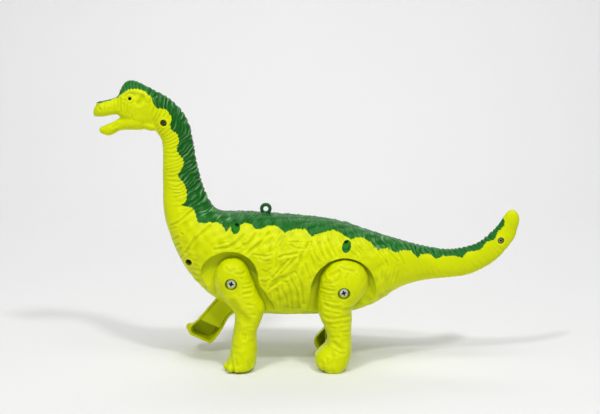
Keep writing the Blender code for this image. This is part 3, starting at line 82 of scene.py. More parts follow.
# %% Sections of the body
BODY_LENGTH = 0.302
BODY_HEIGHT = 0.2025
BODY_HALF_WIDTH = 0.031
HEAD_HALF_WIDTH = 0.0088
SHELL_WALL = 0.0018

BODY_STATION_SHARES = (
    (-0.35, 0.962, -0.372, 0.87, 0.26), (-0.322, 0.936, -0.36, 0.835, 0.27),
    (-0.296, 0.898, -0.349, 0.811, 0.27), (-0.28, 0.856, -0.342, 0.79, 0.27),
    (-0.272, 0.809, -0.34, 0.76, 0.28), (-0.267, 0.768, -0.34, 0.728, 0.29),
    (-0.263, 0.727, -0.341, 0.693, 0.3), (-0.256, 0.681, -0.341, 0.652, 0.31),
    (-0.247, 0.631, -0.341, 0.61, 0.34), (-0.235, 0.587, -0.341, 0.567, 0.39),
    (-0.221, 0.556, -0.337, 0.517, 0.46), (-0.203, 0.543, -0.326, 0.463, 0.56),
    (-0.174, 0.54, -0.309, 0.397, 0.7), (-0.141, 0.54, -0.28, 0.323, 0.83),
    (-0.108, 0.537, -0.232, 0.249, 0.91), (-0.07, 0.532, -0.166, 0.193, 0.96),
    (-0.037, 0.529, -0.095, 0.178, 0.99), (-0.004, 0.524, -0.028, 0.176, 1),
    (0.034, 0.518, 0.034, 0.178, 0.99), (0.067, 0.509, 0.08, 0.184, 0.96), (0.1, 0.496, 0.116, 0.193, 0.92),
    (0.129, 0.481, 0.147, 0.209, 0.85), (0.157, 0.467, 0.175, 0.231, 0.75),
    (0.186, 0.453, 0.202, 0.257, 0.63), (0.225, 0.436, 0.233, 0.28, 0.5),
    (0.275, 0.417, 0.279, 0.297, 0.37), (0.329, 0.405, 0.325, 0.304, 0.28),
    (0.371, 0.412, 0.379, 0.314, 0.23), (0.404, 0.428, 0.42, 0.341, 0.2), (0.43, 0.458, 0.45, 0.372, 0.18),
    (0.451, 0.492, 0.473, 0.41, 0.155), (0.464, 0.522, 0.49, 0.446, 0.125),
    (0.472, 0.536, 0.496, 0.476, 0.095),
)
HOLLOW_ROWS = slice(3, 29)
HEAD_STATION_SHARES = (
    (-0.4965, 0.912, -0.4965, 0.876, 0.5), (-0.487, 0.927, -0.487, 0.875, 0.7),
    (-0.471, 0.933, -0.472, 0.877, 0.8), (-0.455, 0.939, -0.456, 0.882, 0.82),
    (-0.443, 0.948, -0.443, 0.881, 0.84), (-0.436, 0.971, -0.435, 0.863, 0.88),
    (-0.426, 0.994, -0.423, 0.849, 0.94), (-0.413, 1.002, -0.409, 0.839, 1),
    (-0.397, 0.997, -0.393, 0.837, 1), (-0.377, 0.982, -0.377, 0.835, 0.98),
    (-0.357, 0.966, -0.367, 0.835, 0.94), (-0.34, 0.946, -0.357, 0.842, 0.84),
)
JAW_STATION_SHARES = (
    (-0.483, 0.84, -0.48, 0.815, 0.46), (-0.473, 0.847, -0.467, 0.809, 0.6),
    (-0.458, 0.856, -0.454, 0.815, 0.66), (-0.443, 0.868, -0.441, 0.826, 0.72),
    (-0.43, 0.877, -0.426, 0.829, 0.78), (-0.413, 0.886, -0.407, 0.829, 0.84),
    (-0.392, 0.888, -0.386, 0.829, 0.84),
)


def sections(shares, half_width):
    """Rows of shares as real sizes: back x, back z, belly x, belly z, half width."""
    scale = (BODY_LENGTH, BODY_HEIGHT, BODY_LENGTH, BODY_HEIGHT, half_width)
    return np.array(shares) * np.array(scale)


def through(rows, steps):
    """More rows, on a smooth curve through the given ones."""
    padded = np.vstack([rows[0], rows, rows[-1]])
    finer = []
    for a, b, c, d in zip(padded, padded[1:], padded[2:], padded[3:]):
        for t in np.linspace(0, 1, steps, endpoint=False):
            bend = 2 * a - 5 * b + 4 * c - d
            finer.append((2 * b + (c - a) * t + bend * t**2 + (3 * b - a - 3 * c + d) * t**3) / 2)
    return np.array(finer + [rows[-1]])


body_rows = sections(BODY_STATION_SHARES, BODY_HALF_WIDTH)
head_rows = sections(HEAD_STATION_SHARES, HEAD_HALF_WIDTH)
jaw_rows = sections(JAW_STATION_SHARES, HEAD_HALF_WIDTH)
print(len(through(body_rows, 5)), "sections along the body")

# %% [markdown]
# A section is a circle whose points are pushed out to a fuller, squarer oval. Neighbouring circles are
# bridged, and a few shrinking circles round off each end.

# %% Lofting
SKIN_POWER = 2.3
FLAT_MARGIN = 0.02


def full_round(angle, power=SKIN_POWER):
    """A point of a fuller circle: how far along its height and across its width."""
    along = math.copysign(abs(math.cos(angle)) ** (2 / power), math.cos(angle))
    across = math.copysign(abs(math.sin(angle)) ** (2 / power), math.sin(angle))
    return along, across


def add_section(mesh, centre, along, across, segments, profile, lap):
    """One closed loop of edges. The points of its flat side, if it has one, lap inwards."""
    verts = bmesh.ops.create_circle(mesh, cap_ends=False, radius=1, segments=segments)["verts"]
    for vert in verts:
        angle = math.atan2(vert.co.y, vert.co.x)
        up, out = profile(angle)
        vert.co = centre + along * up + across * out
        if FLAT_MARGIN - math.pi < angle < -FLAT_MARGIN:
            vert.co.y -= lap
    return list({edge for vert in verts for edge in vert.link_edges})


def loft(loops, segments, profile=full_round, lap=0.0):
    """Bridges sections, each given as centre, along and across, and closes both ends."""
    mesh = bmesh.new()
    before = None
    for centre, along, across in loops:
        edges = add_section(mesh, centre, along, across, segments, profile, lap)
        if before:
            bmesh.ops.bridge_loops(mesh, edges=before + edges)
        before = edges
    bmesh.ops.holes_fill(mesh, edges=[edge for edge in mesh.edges if edge.is_boundary], sides=0)
    bmesh.ops.recalc_face_normals(mesh, faces=mesh.faces)
    return mesh


def section_loops(rows, start_bulge, end_bulge, wall=0.0, dome_steps=4):
    """Loops of a body whose sections stand upright in the XZ plane, with a dome at each end."""
    loops = []
    for back_x, back_z, belly_x, belly_z, half_width in rows:
        back = Vector((back_x, 0, back_z))
        belly = Vector((belly_x, 0, belly_z))
        arm = (back - belly) / 2
        arm -= arm.normalized() * wall
        loops.append(((back + belly) / 2, arm, Vector((0, half_width - wall, 0))))
    domes = []
    for end, neighbour, bulge in ((0, 1, start_bulge), (-1, -2, end_bulge)):
        centre, along, across = loops[end]
        outward = (centre - loops[neighbour][0]).normalized()
        dome = []
        for step in range(1, dome_steps + 1):
            turn = math.pi / 2 * step / (dome_steps + 0.5)
            shrink = math.cos(turn)
            dome.append((centre + outward * bulge * math.sin(turn), along * shrink, across * shrink))
        domes.append(dome)
    return domes[0][::-1] + loops + domes[1]


print("a section's point at 45 degrees:", [round(share, 2) for share in full_round(math.pi / 4)])

# %% [markdown]
# The forms are built as loose meshes and become objects when they are whole. Turning and moving is done
# to the points, so a finished object always stays at the origin, unturned and unscaled.

# %% Loose meshes and objects
def to_object(name, mesh):
    data = bpy.data.meshes.new(name)
    mesh.to_mesh(data)
    mesh.free()
    item = bpy.data.objects.new(name, data)
    scene.collection.objects.link(item)
    return item


def as_tool(item):
    """Turns an object back into a loose mesh and removes the object."""
    mesh = bmesh.new()
    mesh.from_mesh(item.data)
    bpy.data.objects.remove(item)
    return mesh


def duplicate(item, name):
    twin = item.copy()
    twin.data = item.data.copy()
    twin.name = name
    scene.collection.objects.link(twin)
    return twin


def turned(mesh, degrees, axis, verts=None):
    """Turns a mesh, or some of its points, round an axis through the origin."""
    matrix = Matrix.Rotation(math.radians(degrees), 3, axis)
    bmesh.ops.rotate(mesh, matrix=matrix, verts=verts or mesh.verts)
    return mesh


def shifted(mesh, x, y, z, verts=None):
    bmesh.ops.translate(mesh, vec=(x, y, z), verts=verts or mesh.verts)
    return mesh


def mirrored(mesh):
    """The mesh on the other side of the XZ plane."""
    bmesh.ops.scale(mesh, vec=(1, -1, 1), verts=mesh.verts)
    bmesh.ops.reverse_faces(mesh, faces=mesh.faces)
    return mesh


print("mesh helpers ready")

# %% [markdown]
# A mould-maker carves one skin, so the head, jaw, brow, lids and ears are lofts and balls pushed into
# each other and then skinned over as one. A voxel remesh does that, and gives small even faces, which is
# what the folds need: a face is about half a millimetre, a fold two or three.

# %% Modifiers that are applied at once
def applied(item, kind, **settings):
    """Runs one modifier and keeps its result as the object's mesh."""
    modifier = item.modifiers.new(kind, kind)
    for key, value in settings.items():
        setattr(modifier, key, value)
    graph = bpy.context.evaluated_depsgraph_get()
    result = bpy.data.meshes.new_from_object(item.evaluated_get(graph))
    item.modifiers.clear()
    old = item.data
    item.data = result
    bpy.data.meshes.remove(old)
    return item


def cut(item, mesh, operation="DIFFERENCE", solver="MANIFOLD"):
    """Cuts, joins or keeps what the item shares with another solid. The dense skin needs the fast solver."""
    tool = to_object("tool", mesh)
    applied(item, "BOOLEAN", operation=operation, object=tool, solver=solver)
    bpy.data.objects.remove(tool)
    return item


def points_of(item):
    """The item's points and their normals."""
    count = len(item.data.vertices)
    places = np.empty(count * 3)
    item.data.vertices.foreach_get("co", places)
    normals = np.empty(count * 3)
    item.data.vertex_normals.foreach_get("vector", normals)
    return places.reshape(-1, 3), normals.reshape(-1, 3)


def move_points(item, places):
    item.data.vertices.foreach_set("co", places.ravel())
    item.data.update()


def store(item, name, values):
    """A number on every point, for the material to read."""
    attribute = item.data.attributes.new(name, "FLOAT", "POINT")
    attribute.data.foreach_set("value", values.astype(np.float32))


print("modifier helpers ready")

# %% [markdown]
# The small forms of the head are balls, stretched and turned: the lid round the eye, the brow, the bump
# of the ear, the cheek and the nostril. They come in pairs, one on each side.

# %% Carving the whole skin
SKIN_VOXEL = 0.00056
SKIN_SEGMENTS = 88
HEAD_SEGMENTS = 56
SNOUT_BULGE = 0.0016
JAW_BULGE = 0.0020
TAIL_BULGE = 0.0046
BLUNT_BULGE = 0.0004
SMOOTH_ROUNDS = 4
BALL_SEGMENTS = 24
BALL_RINGS = 16

EYE = Vector((-0.1245, -0.0080, 0.1905))
HEAD_BALLS = (
    # centre x, y, z, radii along, across and up, lean in degrees
    (-0.1245, 0.0068, 0.1905, 0.0021, 0.0021, 0.0021, 0),
    (-0.1205, 0.0062, 0.1955, 0.0075, 0.0024, 0.0018, 14),
    (-0.1125, 0.0068, 0.1905, 0.0024, 0.0022, 0.0042, -14),
    (-0.1295, 0.0064, 0.1835, 0.0021, 0.0019, 0.0068, -8),
    (-0.1180, 0.0044, 0.1785, 0.0085, 0.0040, 0.0066, 0),
    (-0.1465, 0.0044, 0.1866, 0.0023, 0.0018, 0.0015, 8),
    (-0.1390, 0.0040, 0.1868, 0.0050, 0.0024, 0.0022, 6),
    (-0.1120, 0.0020, 0.1712, 0.0075, 0.0050, 0.0036, 14),
    (0.1455, 0.0006, 0.1026, 0.0057, 0.0036, 0.0082, 8),
)


def add_ball(mesh, centre, radii, lean=0):
    ball = bmesh.ops.create_uvsphere(mesh, u_segments=BALL_SEGMENTS, v_segments=BALL_RINGS, radius=1)
    verts = ball["verts"]
    bmesh.ops.scale(mesh, vec=radii, verts=verts)
    turned(mesh, lean, "Y", verts)
    shifted(mesh, *centre, verts)


def pour_in(mesh, other):
    """Adds another mesh's faces."""
    data = bpy.data.meshes.new("poured")
    other.to_mesh(data)
    other.free()
    mesh.from_mesh(data)
    bpy.data.meshes.remove(data)


whole = bmesh.new()
for rows, steps, start_bulge, end_bulge, segments in (
    # sections, how many come between two of them, how far each end bulges, sides
    (body_rows, 6, BLUNT_BULGE, TAIL_BULGE, SKIN_SEGMENTS),
    (head_rows, 5, SNOUT_BULGE, BLUNT_BULGE, HEAD_SEGMENTS),
    (jaw_rows, 5, JAW_BULGE, BLUNT_BULGE, HEAD_SEGMENTS),
):
    pour_in(whole, loft(section_loops(through(rows, steps), start_bulge, end_bulge), segments))
for x, y, z, length, width, height, lean in HEAD_BALLS:
    for side in (-1, 1):
        add_ball(whole, (x, side * y, z), (length, width, height), lean)
skin = to_object("skin", whole)
applied(skin, "REMESH", mode="VOXEL", voxel_size=SKIN_VOXEL)
applied(skin, "SMOOTH", factor=0.5, iterations=SMOOTH_ROUNDS)
print("skin:", len(skin.data.vertices), "points")

# %% [markdown]
# Every fold is measured along the body, not in space, so each point first learns where it is: how far
# along the middle line from the head to the tail, and how near to the back or the belly.

# %% Where a point is on the body
LINE_STEPS = 10
BLOCK = 20000


def body_line():
    """The middle line from nape to tail: places, the direction to the back, half height, half width."""
    rows = through(body_rows, LINE_STEPS)
    back, belly = rows[:, 0:2], rows[:, 2:4]
    middle = (back + belly) / 2
    arm = (back - belly) / 2
    reach = np.linalg.norm(arm, axis=1)
    travelled = np.concatenate([[0], np.cumsum(np.linalg.norm(np.diff(middle, axis=0), axis=1))])
    return middle, arm / reach[:, None], reach, rows[:, 4], travelled


LINE_MIDDLE, LINE_UP, LINE_REACH, LINE_WIDTH, LINE_TRAVELLED = body_line()


def on_body(places):
    """Distance along the line, height share (1 at the back, -1 at the belly), and the nearest step."""
    nearest = np.empty(len(places), int)
    for start in range(0, len(places), BLOCK):
        block = places[start : start + BLOCK, ::2]
        away = ((block[:, None, :] - LINE_MIDDLE[None]) ** 2).sum(axis=2)
        nearest[start : start + BLOCK] = away.argmin(axis=1)
    offset = places[:, ::2] - LINE_MIDDLE[nearest]
    up = (offset * LINE_UP[nearest]).sum(axis=1)
    ahead = np.stack([LINE_UP[nearest][:, 1], -LINE_UP[nearest][:, 0]], axis=1)
    along = LINE_TRAVELLED[nearest] + (offset * ahead).sum(axis=1)
    return along, up / LINE_REACH[nearest], nearest


print("middle line:", round(LINE_TRAVELLED[-1] * 1000), "mm long")

# %% [markdown]
# Some lines are read off the photograph in its own pixels: the deep creases and the paint's edge. The
# camera is known, so the ray through a pixel finds the place on the toy's left side. How far that side
# stands from the middle comes from the section that the place falls in.

# %% From a pixel to the body's side
IMAGE_WIDTH = 600
IMAGE_CENTRE = (300, 207)
HEAD_END_X = -0.1085


def pixel_on_side(pixel, y):
    """The place where the line of sight through a pixel meets the plane at y."""
    focal = LENS_MM / (SENSOR_WIDTH * 1000) * IMAGE_WIDTH
    right = (pixel[0] - IMAGE_CENTRE[0]) / focal
    up = (IMAGE_CENTRE[1] - pixel[1]) / focal
    ahead = math.cos(CAMERA_DIP) + up * math.sin(CAMERA_DIP)
    rise = up * math.cos(CAMERA_DIP) - math.sin(CAMERA_DIP)
    reach = (y - CAMERA_PLACE.y) / ahead
    return CAMERA_PLACE.x + right * reach, CAMERA_PLACE.z + rise * reach


def side_place(pixel):
    """The x and z of the body's left side behind a pixel."""
    y = -HEAD_HALF_WIDTH
    for _ in range(4):
        x, z = pixel_on_side(pixel, y)
        _, up, nearest = on_body(np.array([[x, 0, z]]))
        share = max(0.0, 1 - min(abs(up[0]), 1) ** SKIN_POWER) ** (1 / SKIN_POWER)
        if x > HEAD_END_X:
            y = -LINE_WIDTH[nearest[0]] * share
    return x, z


print("behind the picture's centre, x and z:", [round(value * 1000, 1) for value in side_place(IMAGE_CENTRE)])

# %% [markdown]
# Folds of hide are round ridges with a sharp crease between them. A rounded sine gives that profile:
# its zeros are the creases. Slow waves bend the lines and change their spacing, so no two are alike.

# %% Fold patterns
WAVE_COUNT = 10
WAVE_TURNS = (0.5, 1.4)
WAVE_PEAK = 1.6


def waves(places, size, seed):
    """A smooth field between about -1 and 1 that changes over the given size."""
    draw = np.random.default_rng(seed)
    total = np.zeros(len(places))
    for _ in range(WAVE_COUNT):
        direction = draw.normal(size=3)
        direction /= np.linalg.norm(direction)
        turns = draw.uniform(*WAVE_TURNS) / size
        total += np.sin(2 * np.pi * turns * (places @ direction) + draw.uniform(0, 2 * np.pi))
    return total / math.sqrt(WAVE_COUNT / 2) / WAVE_PEAK


def fold(turns, roundness):
    """Ridges from 0 in the crease to 1 on top."""
    return np.abs(np.sin(np.pi * turns)) ** roundness


def step_up(values, low, high):
    """A smooth step from 0 below low to 1 above high."""
    share = np.clip((values - low) / (high - low), 0, 1)
    return share * share * (3 - 2 * share)


print("a fold from crease to top:", [round(float(fold(turns, 0.6)), 2) for turns in (0, 0.1, 0.25, 0.5)])

# %% [markdown]
# The deep creases and the ridges of the face are drawn one by one, as a sculptor draws them with a
# loop tool. Each stroke has a width and a height in millimetres (below zero for a groove) and runs
# through a few pixels of the photograph. A groove pushes up a small lip on both of its sides.

# %% Strokes of the loop tool
HEAD_STROKES = (
    (1.1, 0.6, (122, 97), (124.5, 92.8), (130, 90.8), (136, 91.5), (141.5, 94)),
    (0.6, -0.35, (124.6, 96.5), (127, 94.6), (130.5, 93.8), (134.5, 95.4)),
    (0.6, -0.35, (125, 100), (127.3, 102.2), (131.5, 102.8), (135, 101)),
    (1.3, -0.95, (142, 97), (141, 100), (138.5, 103)), (1, 0.5, (145, 94.5), (147.3, 98), (147, 104)),
    (1.2, 0.4, (150, 97), (150, 100.5)), (0.6, -0.4, (120.3, 99), (120.2, 106), (121.2, 112)),
    (0.6, -0.42, (124, 103.5), (123.6, 108), (124.8, 113.5)),
    (0.6, -0.38, (127, 104.5), (126.8, 109), (128.6, 114.5)),
    (0.6, -0.32, (130, 108), (131, 114), (132.6, 120)), (0.6, -0.22, (134.4, 110.5), (135, 117)),
    (0.5, -0.26, (104, 103.5), (103.7, 110)), (0.5, -0.26, (107.1, 103.5), (107, 110)),
    (0.5, -0.24, (110.4, 102.5), (110.2, 109)), (0.5, -0.24, (113.2, 101.5), (113, 108)),
    (0.5, -0.28, (116.7, 100.5), (116.8, 107.5)), (0.7, -0.6, (98.6, 108.6), (99.8, 109.6)),
    (0.55, -0.5, (108.5, 108.5), (109.1, 108.7)),
    (0.8, 0.32, (96, 113.8), (104, 113.2), (112, 111.6), (118.5, 110.2)),
    (0.7, 0.25, (102, 125.4), (110, 122.4), (118, 119.4)), (0.8, -0.4, (111.5, 127), (117, 124.3)),
    (0.6, -0.3, (112, 132), (116.5, 130)),
)
BODY_STROKES = (
    (0.9, -0.62, (171, 225.5), (176, 223.2), (181, 220), (186, 216), (192, 210.5)),
    (0.9, -0.62, (185.5, 252), (189, 247), (193.5, 240.5), (198.5, 236), (203.5, 231.5), (210, 226)),
    (0.6, -0.34, (218.5, 245), (223, 243.2), (229, 242.6)),
    (0.9, -0.6, (214.5, 249.2), (222, 248.4), (229, 247), (235, 243), (240, 238.5), (243.5, 235)),
    (0.8, -0.45, (236, 249.5), (241, 248)),
    (1, -0.62, (243, 245.5), (248, 243.8), (251.5, 240), (255, 234)),
    (0.9, -0.66, (246.5, 255), (251, 250.5), (256, 246.5), (260.5, 242.5), (264, 238), (269, 233)),
    (0.8, 0.36, (244.5, 253), (250, 246), (257, 242), (263.5, 235)),
    (0.7, -0.45, (253, 254.3), (259, 255.6), (266, 256.4), (271.5, 255)),
    (0.7, -0.45, (259.5, 258.8), (264, 261.3), (269.5, 260.3)),
    (0.8, -0.6, (279, 257.4), (284, 255.4), (290, 254.6), (297, 253)),
    (0.7, 0.34, (280, 260), (287, 258), (296.5, 256.4)),
    (1, -0.6, (296.5, 273), (299.5, 264), (301, 256), (304, 250.5), (307, 244.5)),
    (0.6, -0.4, (289, 242.4), (296, 241.9), (303, 242.3), (311, 242)),
    (0.7, -0.45, (290.5, 244.8), (296, 247.8), (303, 248.6)), (0.5, -0.32, (280, 246.5), (283, 241)),
    (0.5, -0.32, (284.2, 247), (286.6, 240)), (0.5, -0.26, (276.8, 244.5), (279, 239)),
    (0.8, -0.36, (275, 242.5), (276.2, 250), (276.6, 258), (276, 267)),
    (0.7, -0.3, (270.2, 243.5), (269.6, 253)), (0.5, -0.24, (262.6, 244.5), (262.6, 251)),
    (0.8, -0.55, (272, 277.6), (277, 272), (282, 266.3), (288.2, 260)),
    (0.8, -0.5, (281, 273.3), (286, 268.3), (291, 263), (296.3, 257.6)),
    (0.6, -0.3, (276, 274), (280, 270.3), (284, 267.8)),
    (1.2, -0.62, (297, 265), (293.5, 272), (287.5, 276), (281, 278.6), (275.5, 281.4), (270.5, 286)),
    (0.8, -0.6, (268.5, 289.3), (272.5, 286.2), (277, 283), (281.5, 281.4), (286.5, 282)),
    (0.8, -0.45, (261.3, 280.8), (265, 281.9), (269, 279.8)),
    (0.7, -0.42, (262.7, 270), (266, 271.7), (270.7, 268.3)),
    (0.8, -0.5, (295, 272), (299, 278), (301.6, 285), (302.6, 293), (304, 304)),
    (0.8, -0.52, (290.3, 277.6), (294, 285), (297.6, 292), (298.2, 300), (299.6, 307.5)),
    (0.8, -0.5, (281.8, 283), (282.2, 290), (286, 297), (287.6, 307)),
    (0.8, -0.45, (288, 284.5), (290.4, 292), (291.6, 299), (292.5, 308)),
    (0.8, -0.36, (270, 294), (271, 301), (273, 308.5)),
    (0.8, -0.34, (276.8, 289), (279, 297), (280.2, 308)),
    (0.8, -0.42, (305.5, 264), (307.4, 270), (310.6, 279)),
    (0.8, -0.42, (311.3, 255.5), (313.3, 263), (315.8, 270)),
    (0.8, -0.5, (313, 247), (315.3, 255), (320.2, 262)),
    (0.8, -0.5, (319.3, 243), (321.4, 251), (325.6, 260)),
    (0.8, -0.5, (325, 243), (327.5, 251), (331.6, 258.4)),
    (0.8, -0.52, (329, 240), (332, 247), (336.6, 256.6)), (0.6, -0.3, (334.2, 235), (337, 241)),
    (0.6, -0.3, (328, 233.6), (328.6, 241)), (0.7, -0.3, (312, 239.6), (311, 247), (309, 254)),
    (0.7, -0.3, (317.5, 239), (318.3, 246)), (0.6, -0.34, (350, 250.4), (354, 254), (358.3, 258.2)),
    (0.6, -0.34, (351.5, 243), (356, 247.6), (361.7, 254.8)),
    (0.6, -0.3, (356, 243.4), (359.4, 247.5), (363.6, 251.4)),
    (0.6, -0.26, (361, 242), (365, 246), (369, 251)),
    (0.7, -0.45, (378, 249.6), (382.5, 255.4), (387, 262.6)),
    (0.7, -0.4, (382.4, 250.4), (386, 257), (388.6, 266)),
    (0.7, -0.45, (388.6, 249.8), (393, 255.5), (398.2, 261.4)),
    (0.7, -0.45, (399, 252.6), (402, 258), (404.6, 264.6)), (0.8, -0.2, (391.2, 271), (389.4, 279.5)),
    (0.8, -0.22, (394.6, 267.6), (393.6, 275), (391.4, 282.6)),
    (0.8, -0.2, (399.3, 271.2), (397.5, 277), (394.8, 282.4)), (0.8, -0.18, (382.5, 269), (382, 280)),
    (0.8, -0.5, (170.5, 228.6), (176, 227.2)), (0.8, -0.55, (172.5, 238.6), (178.5, 236.4)),
    (0.8, -0.5, (173.8, 244), (179.5, 243.2)), (0.8, -0.5, (175.5, 250.4), (181.5, 247.4)),
    (0.8, -0.5, (179, 257.6), (184, 253.6)), (0.7, -0.4, (181, 233.4), (183, 234)),
)
HEAD_STROKE_SCALE = (1.15, 0.72)
BODY_STROKE_SCALE = (1.0, 0.93)
LIP_SHARE = 0.55
LIP_PLACE = 1.9


def stroked(x, z, strokes):
    """Height that the strokes add at each point of the XZ plane."""
    total = np.zeros(len(x))
    for width, height, line in strokes:
        reach = (LIP_PLACE + 2) * width
        (low_x, low_z), (high_x, high_z) = line.min(axis=0) - reach, line.max(axis=0) + reach
        near = np.flatnonzero((x > low_x) & (x < high_x) & (z > low_z) & (z < high_z))
        points = np.stack([x[near], z[near]], axis=1)
        away = np.full(len(near), np.inf)
        for start, end in zip(line, line[1:]):
            run = end - start
            share = np.clip((points - start) @ run / (run @ run), 0, 1)
            away = np.minimum(away, np.linalg.norm(points - start - share[:, None] * run, axis=1))
        lip = LIP_SHARE * np.exp(-((away / width - LIP_PLACE) ** 2)) if height < 0 else 0.0
        total[near] += height * (np.exp(-((away / width) ** 2)) - lip)
    return total


def placed(strokes, to_place, widen, deepen):
    """The same strokes in metres, along a smooth curve through their points."""
    lines = []
    for width, height, *pixels in strokes:
        points = np.array([to_place(pixel) for pixel in pixels])
        lines.append((width * widen / 1000, height * deepen / 1000, through(points, 3)))
    return lines


SKIN_STROKES = placed(HEAD_STROKES, side_place, *HEAD_STROKE_SCALE)
SKIN_STROKES += placed(BODY_STROKES, side_place, *BODY_STROKE_SCALE)
print(len(SKIN_STROKES), "strokes on the skin")

# %% [markdown]
# The rest follows rules, part by part: slanted rings round the neck and chest, lumps along the back and
# over the cap of the head, fine streaks where the paint lies, crossed wrinkles between the strokes, and
# soft rings on the tail. One table holds their sizes, and each fades where its part of the body ends.

# %% Depth of the skin's folds
FRONT_AXLE = Vector((-0.0533, 0, 0.0656))
REAR_HIP = Vector((0.025, 0, 0.057))
FOLDS = {
    # pitch, roundness, the level between crease and top that stays in place, depth
    "neck": (0.0029, 0.6, 0.72, 0.00092),
    "back": (0.0039, 0.8, 0.60, 0.00115),
    "cap": (0.0022, 0.7, 0.65, 0.00050),
    "streaks": (0.0023, 0.7, 0.65, 0.00040),
    "chest": (0.0036, 0.6, 0.70, 0.00092),
    "tail": (0.0050, 0.7, 0.70, 0.00042),
    "leg": (0.0022, 0.6, 0.70, 0.00018),
}
CROSS_PITCH = 0.0042
CROSS_DEPTH = 0.00022
CALM_BACK = 0.30
CAP_START_Z = 0.193
CAP_END_Z = 0.198
# Places on the back with deeper streaks, where the green is also lighter from paint rubbed thin and a painted
# highlight: x and width
WORN_AND_SHEEN_PARTS = ((-0.066, 0.016), (0.058, 0.022))
NECK_FOOT_Z = 0.126
TAIL_START_X = 0.060
TAIL_TIP_Z = 0.102
LEAN_PLACES = (-0.090, -0.050, 0.000, 0.030, 0.060, 0.140)
LEAN_SHARES = (0.0, -0.60, 0.0, 0.65, 0.75, 0.70)
NECK_BOW = 0.0012
NECK_SLANT = 0.42
SWELL_DEPTH = 0.00030
RIM_WIDTH = 0.0006
EYE_GROOVE = 0.0016
EYE_GROOVE_DEPTH = 0.0002
LID_RADIUS = 0.0024
LID_HEIGHT = 0.00042
COLLAR_HOLES = ((-0.1013, 0.1733), (-0.0841, 0.0755), (0.1378, 0.0891))
COLLAR_RADIUS = 0.0031
COLLAR_HEIGHT = 0.00035
FLAT_RADII = (0.0034, 0.0054)
SLOW_WAVE = (0.020, 11)
QUICK_WAVE = (0.007, 12)
WANDER_WAVE = (0.013, 13)
SWELL_WAVE = (0.0075, 14)
SLOW_SHIFT = 0.0014
QUICK_SHIFT = 0.0005
NAPE_Z = 0.17
NAPE_SLANT = 0.25
NECK_BLEND = 0.020
NECK_FOOT_BLEND = 0.026
TAIL_BLEND = 0.012
TAIL_TIP_BLEND = 0.008
EDGE_WAVE = 0.08
# Heights and depths are shares: 1 at the back and -1 at the belly, or the other way round for depths
BACK_HEIGHTS = (0.60, 0.86)
PAINTED_HEIGHTS = (0.25, 0.55)
CHEST_DEPTHS = (0.35, 0.80)
CHEST_PLACES = (0.070, 0.080)
TAIL_DEPTHS = (-0.5, 0.4)
FACING_SIDEWAYS = (0.12, 0.40)


def bell(values, middle, width):
    return np.exp(-(((values - middle) / width) ** 2))


def folds(kind, distance):
    """One kind of fold, by how far each point lies across it."""
    pitch, roundness, level, depth = FOLDS[kind]
    return (fold(distance / pitch, roundness) - level) * depth


def uneven(field, share):
    """A factor round 1 that a field changes by a share."""
    return 1 - share + share * field


def ring_line(places):
    """A distance along the body whose lines of equal value lean like the rings of the skin."""
    along, up, nearest = on_body(places)
    slow = waves(places, *SLOW_WAVE)
    quick = waves(places, *QUICK_WAVE)
    lean = np.interp(LINE_MIDDLE[:, 0], LEAN_PLACES, LEAN_SHARES) * LINE_REACH
    lean = np.where(LINE_MIDDLE[:, 1] > NECK_FOOT_Z, 0.0, lean)[nearest]
    bowed = NECK_BOW * up**2 + NECK_SLANT * np.clip(up, 0, 1) * LINE_REACH[nearest]
    bowed *= step_up(places[:, 2], NECK_FOOT_Z - NECK_BLEND, NECK_FOOT_Z)
    return along - lean * (1 - up) + bowed + SLOW_SHIFT * slow + QUICK_SHIFT * quick, up, slow


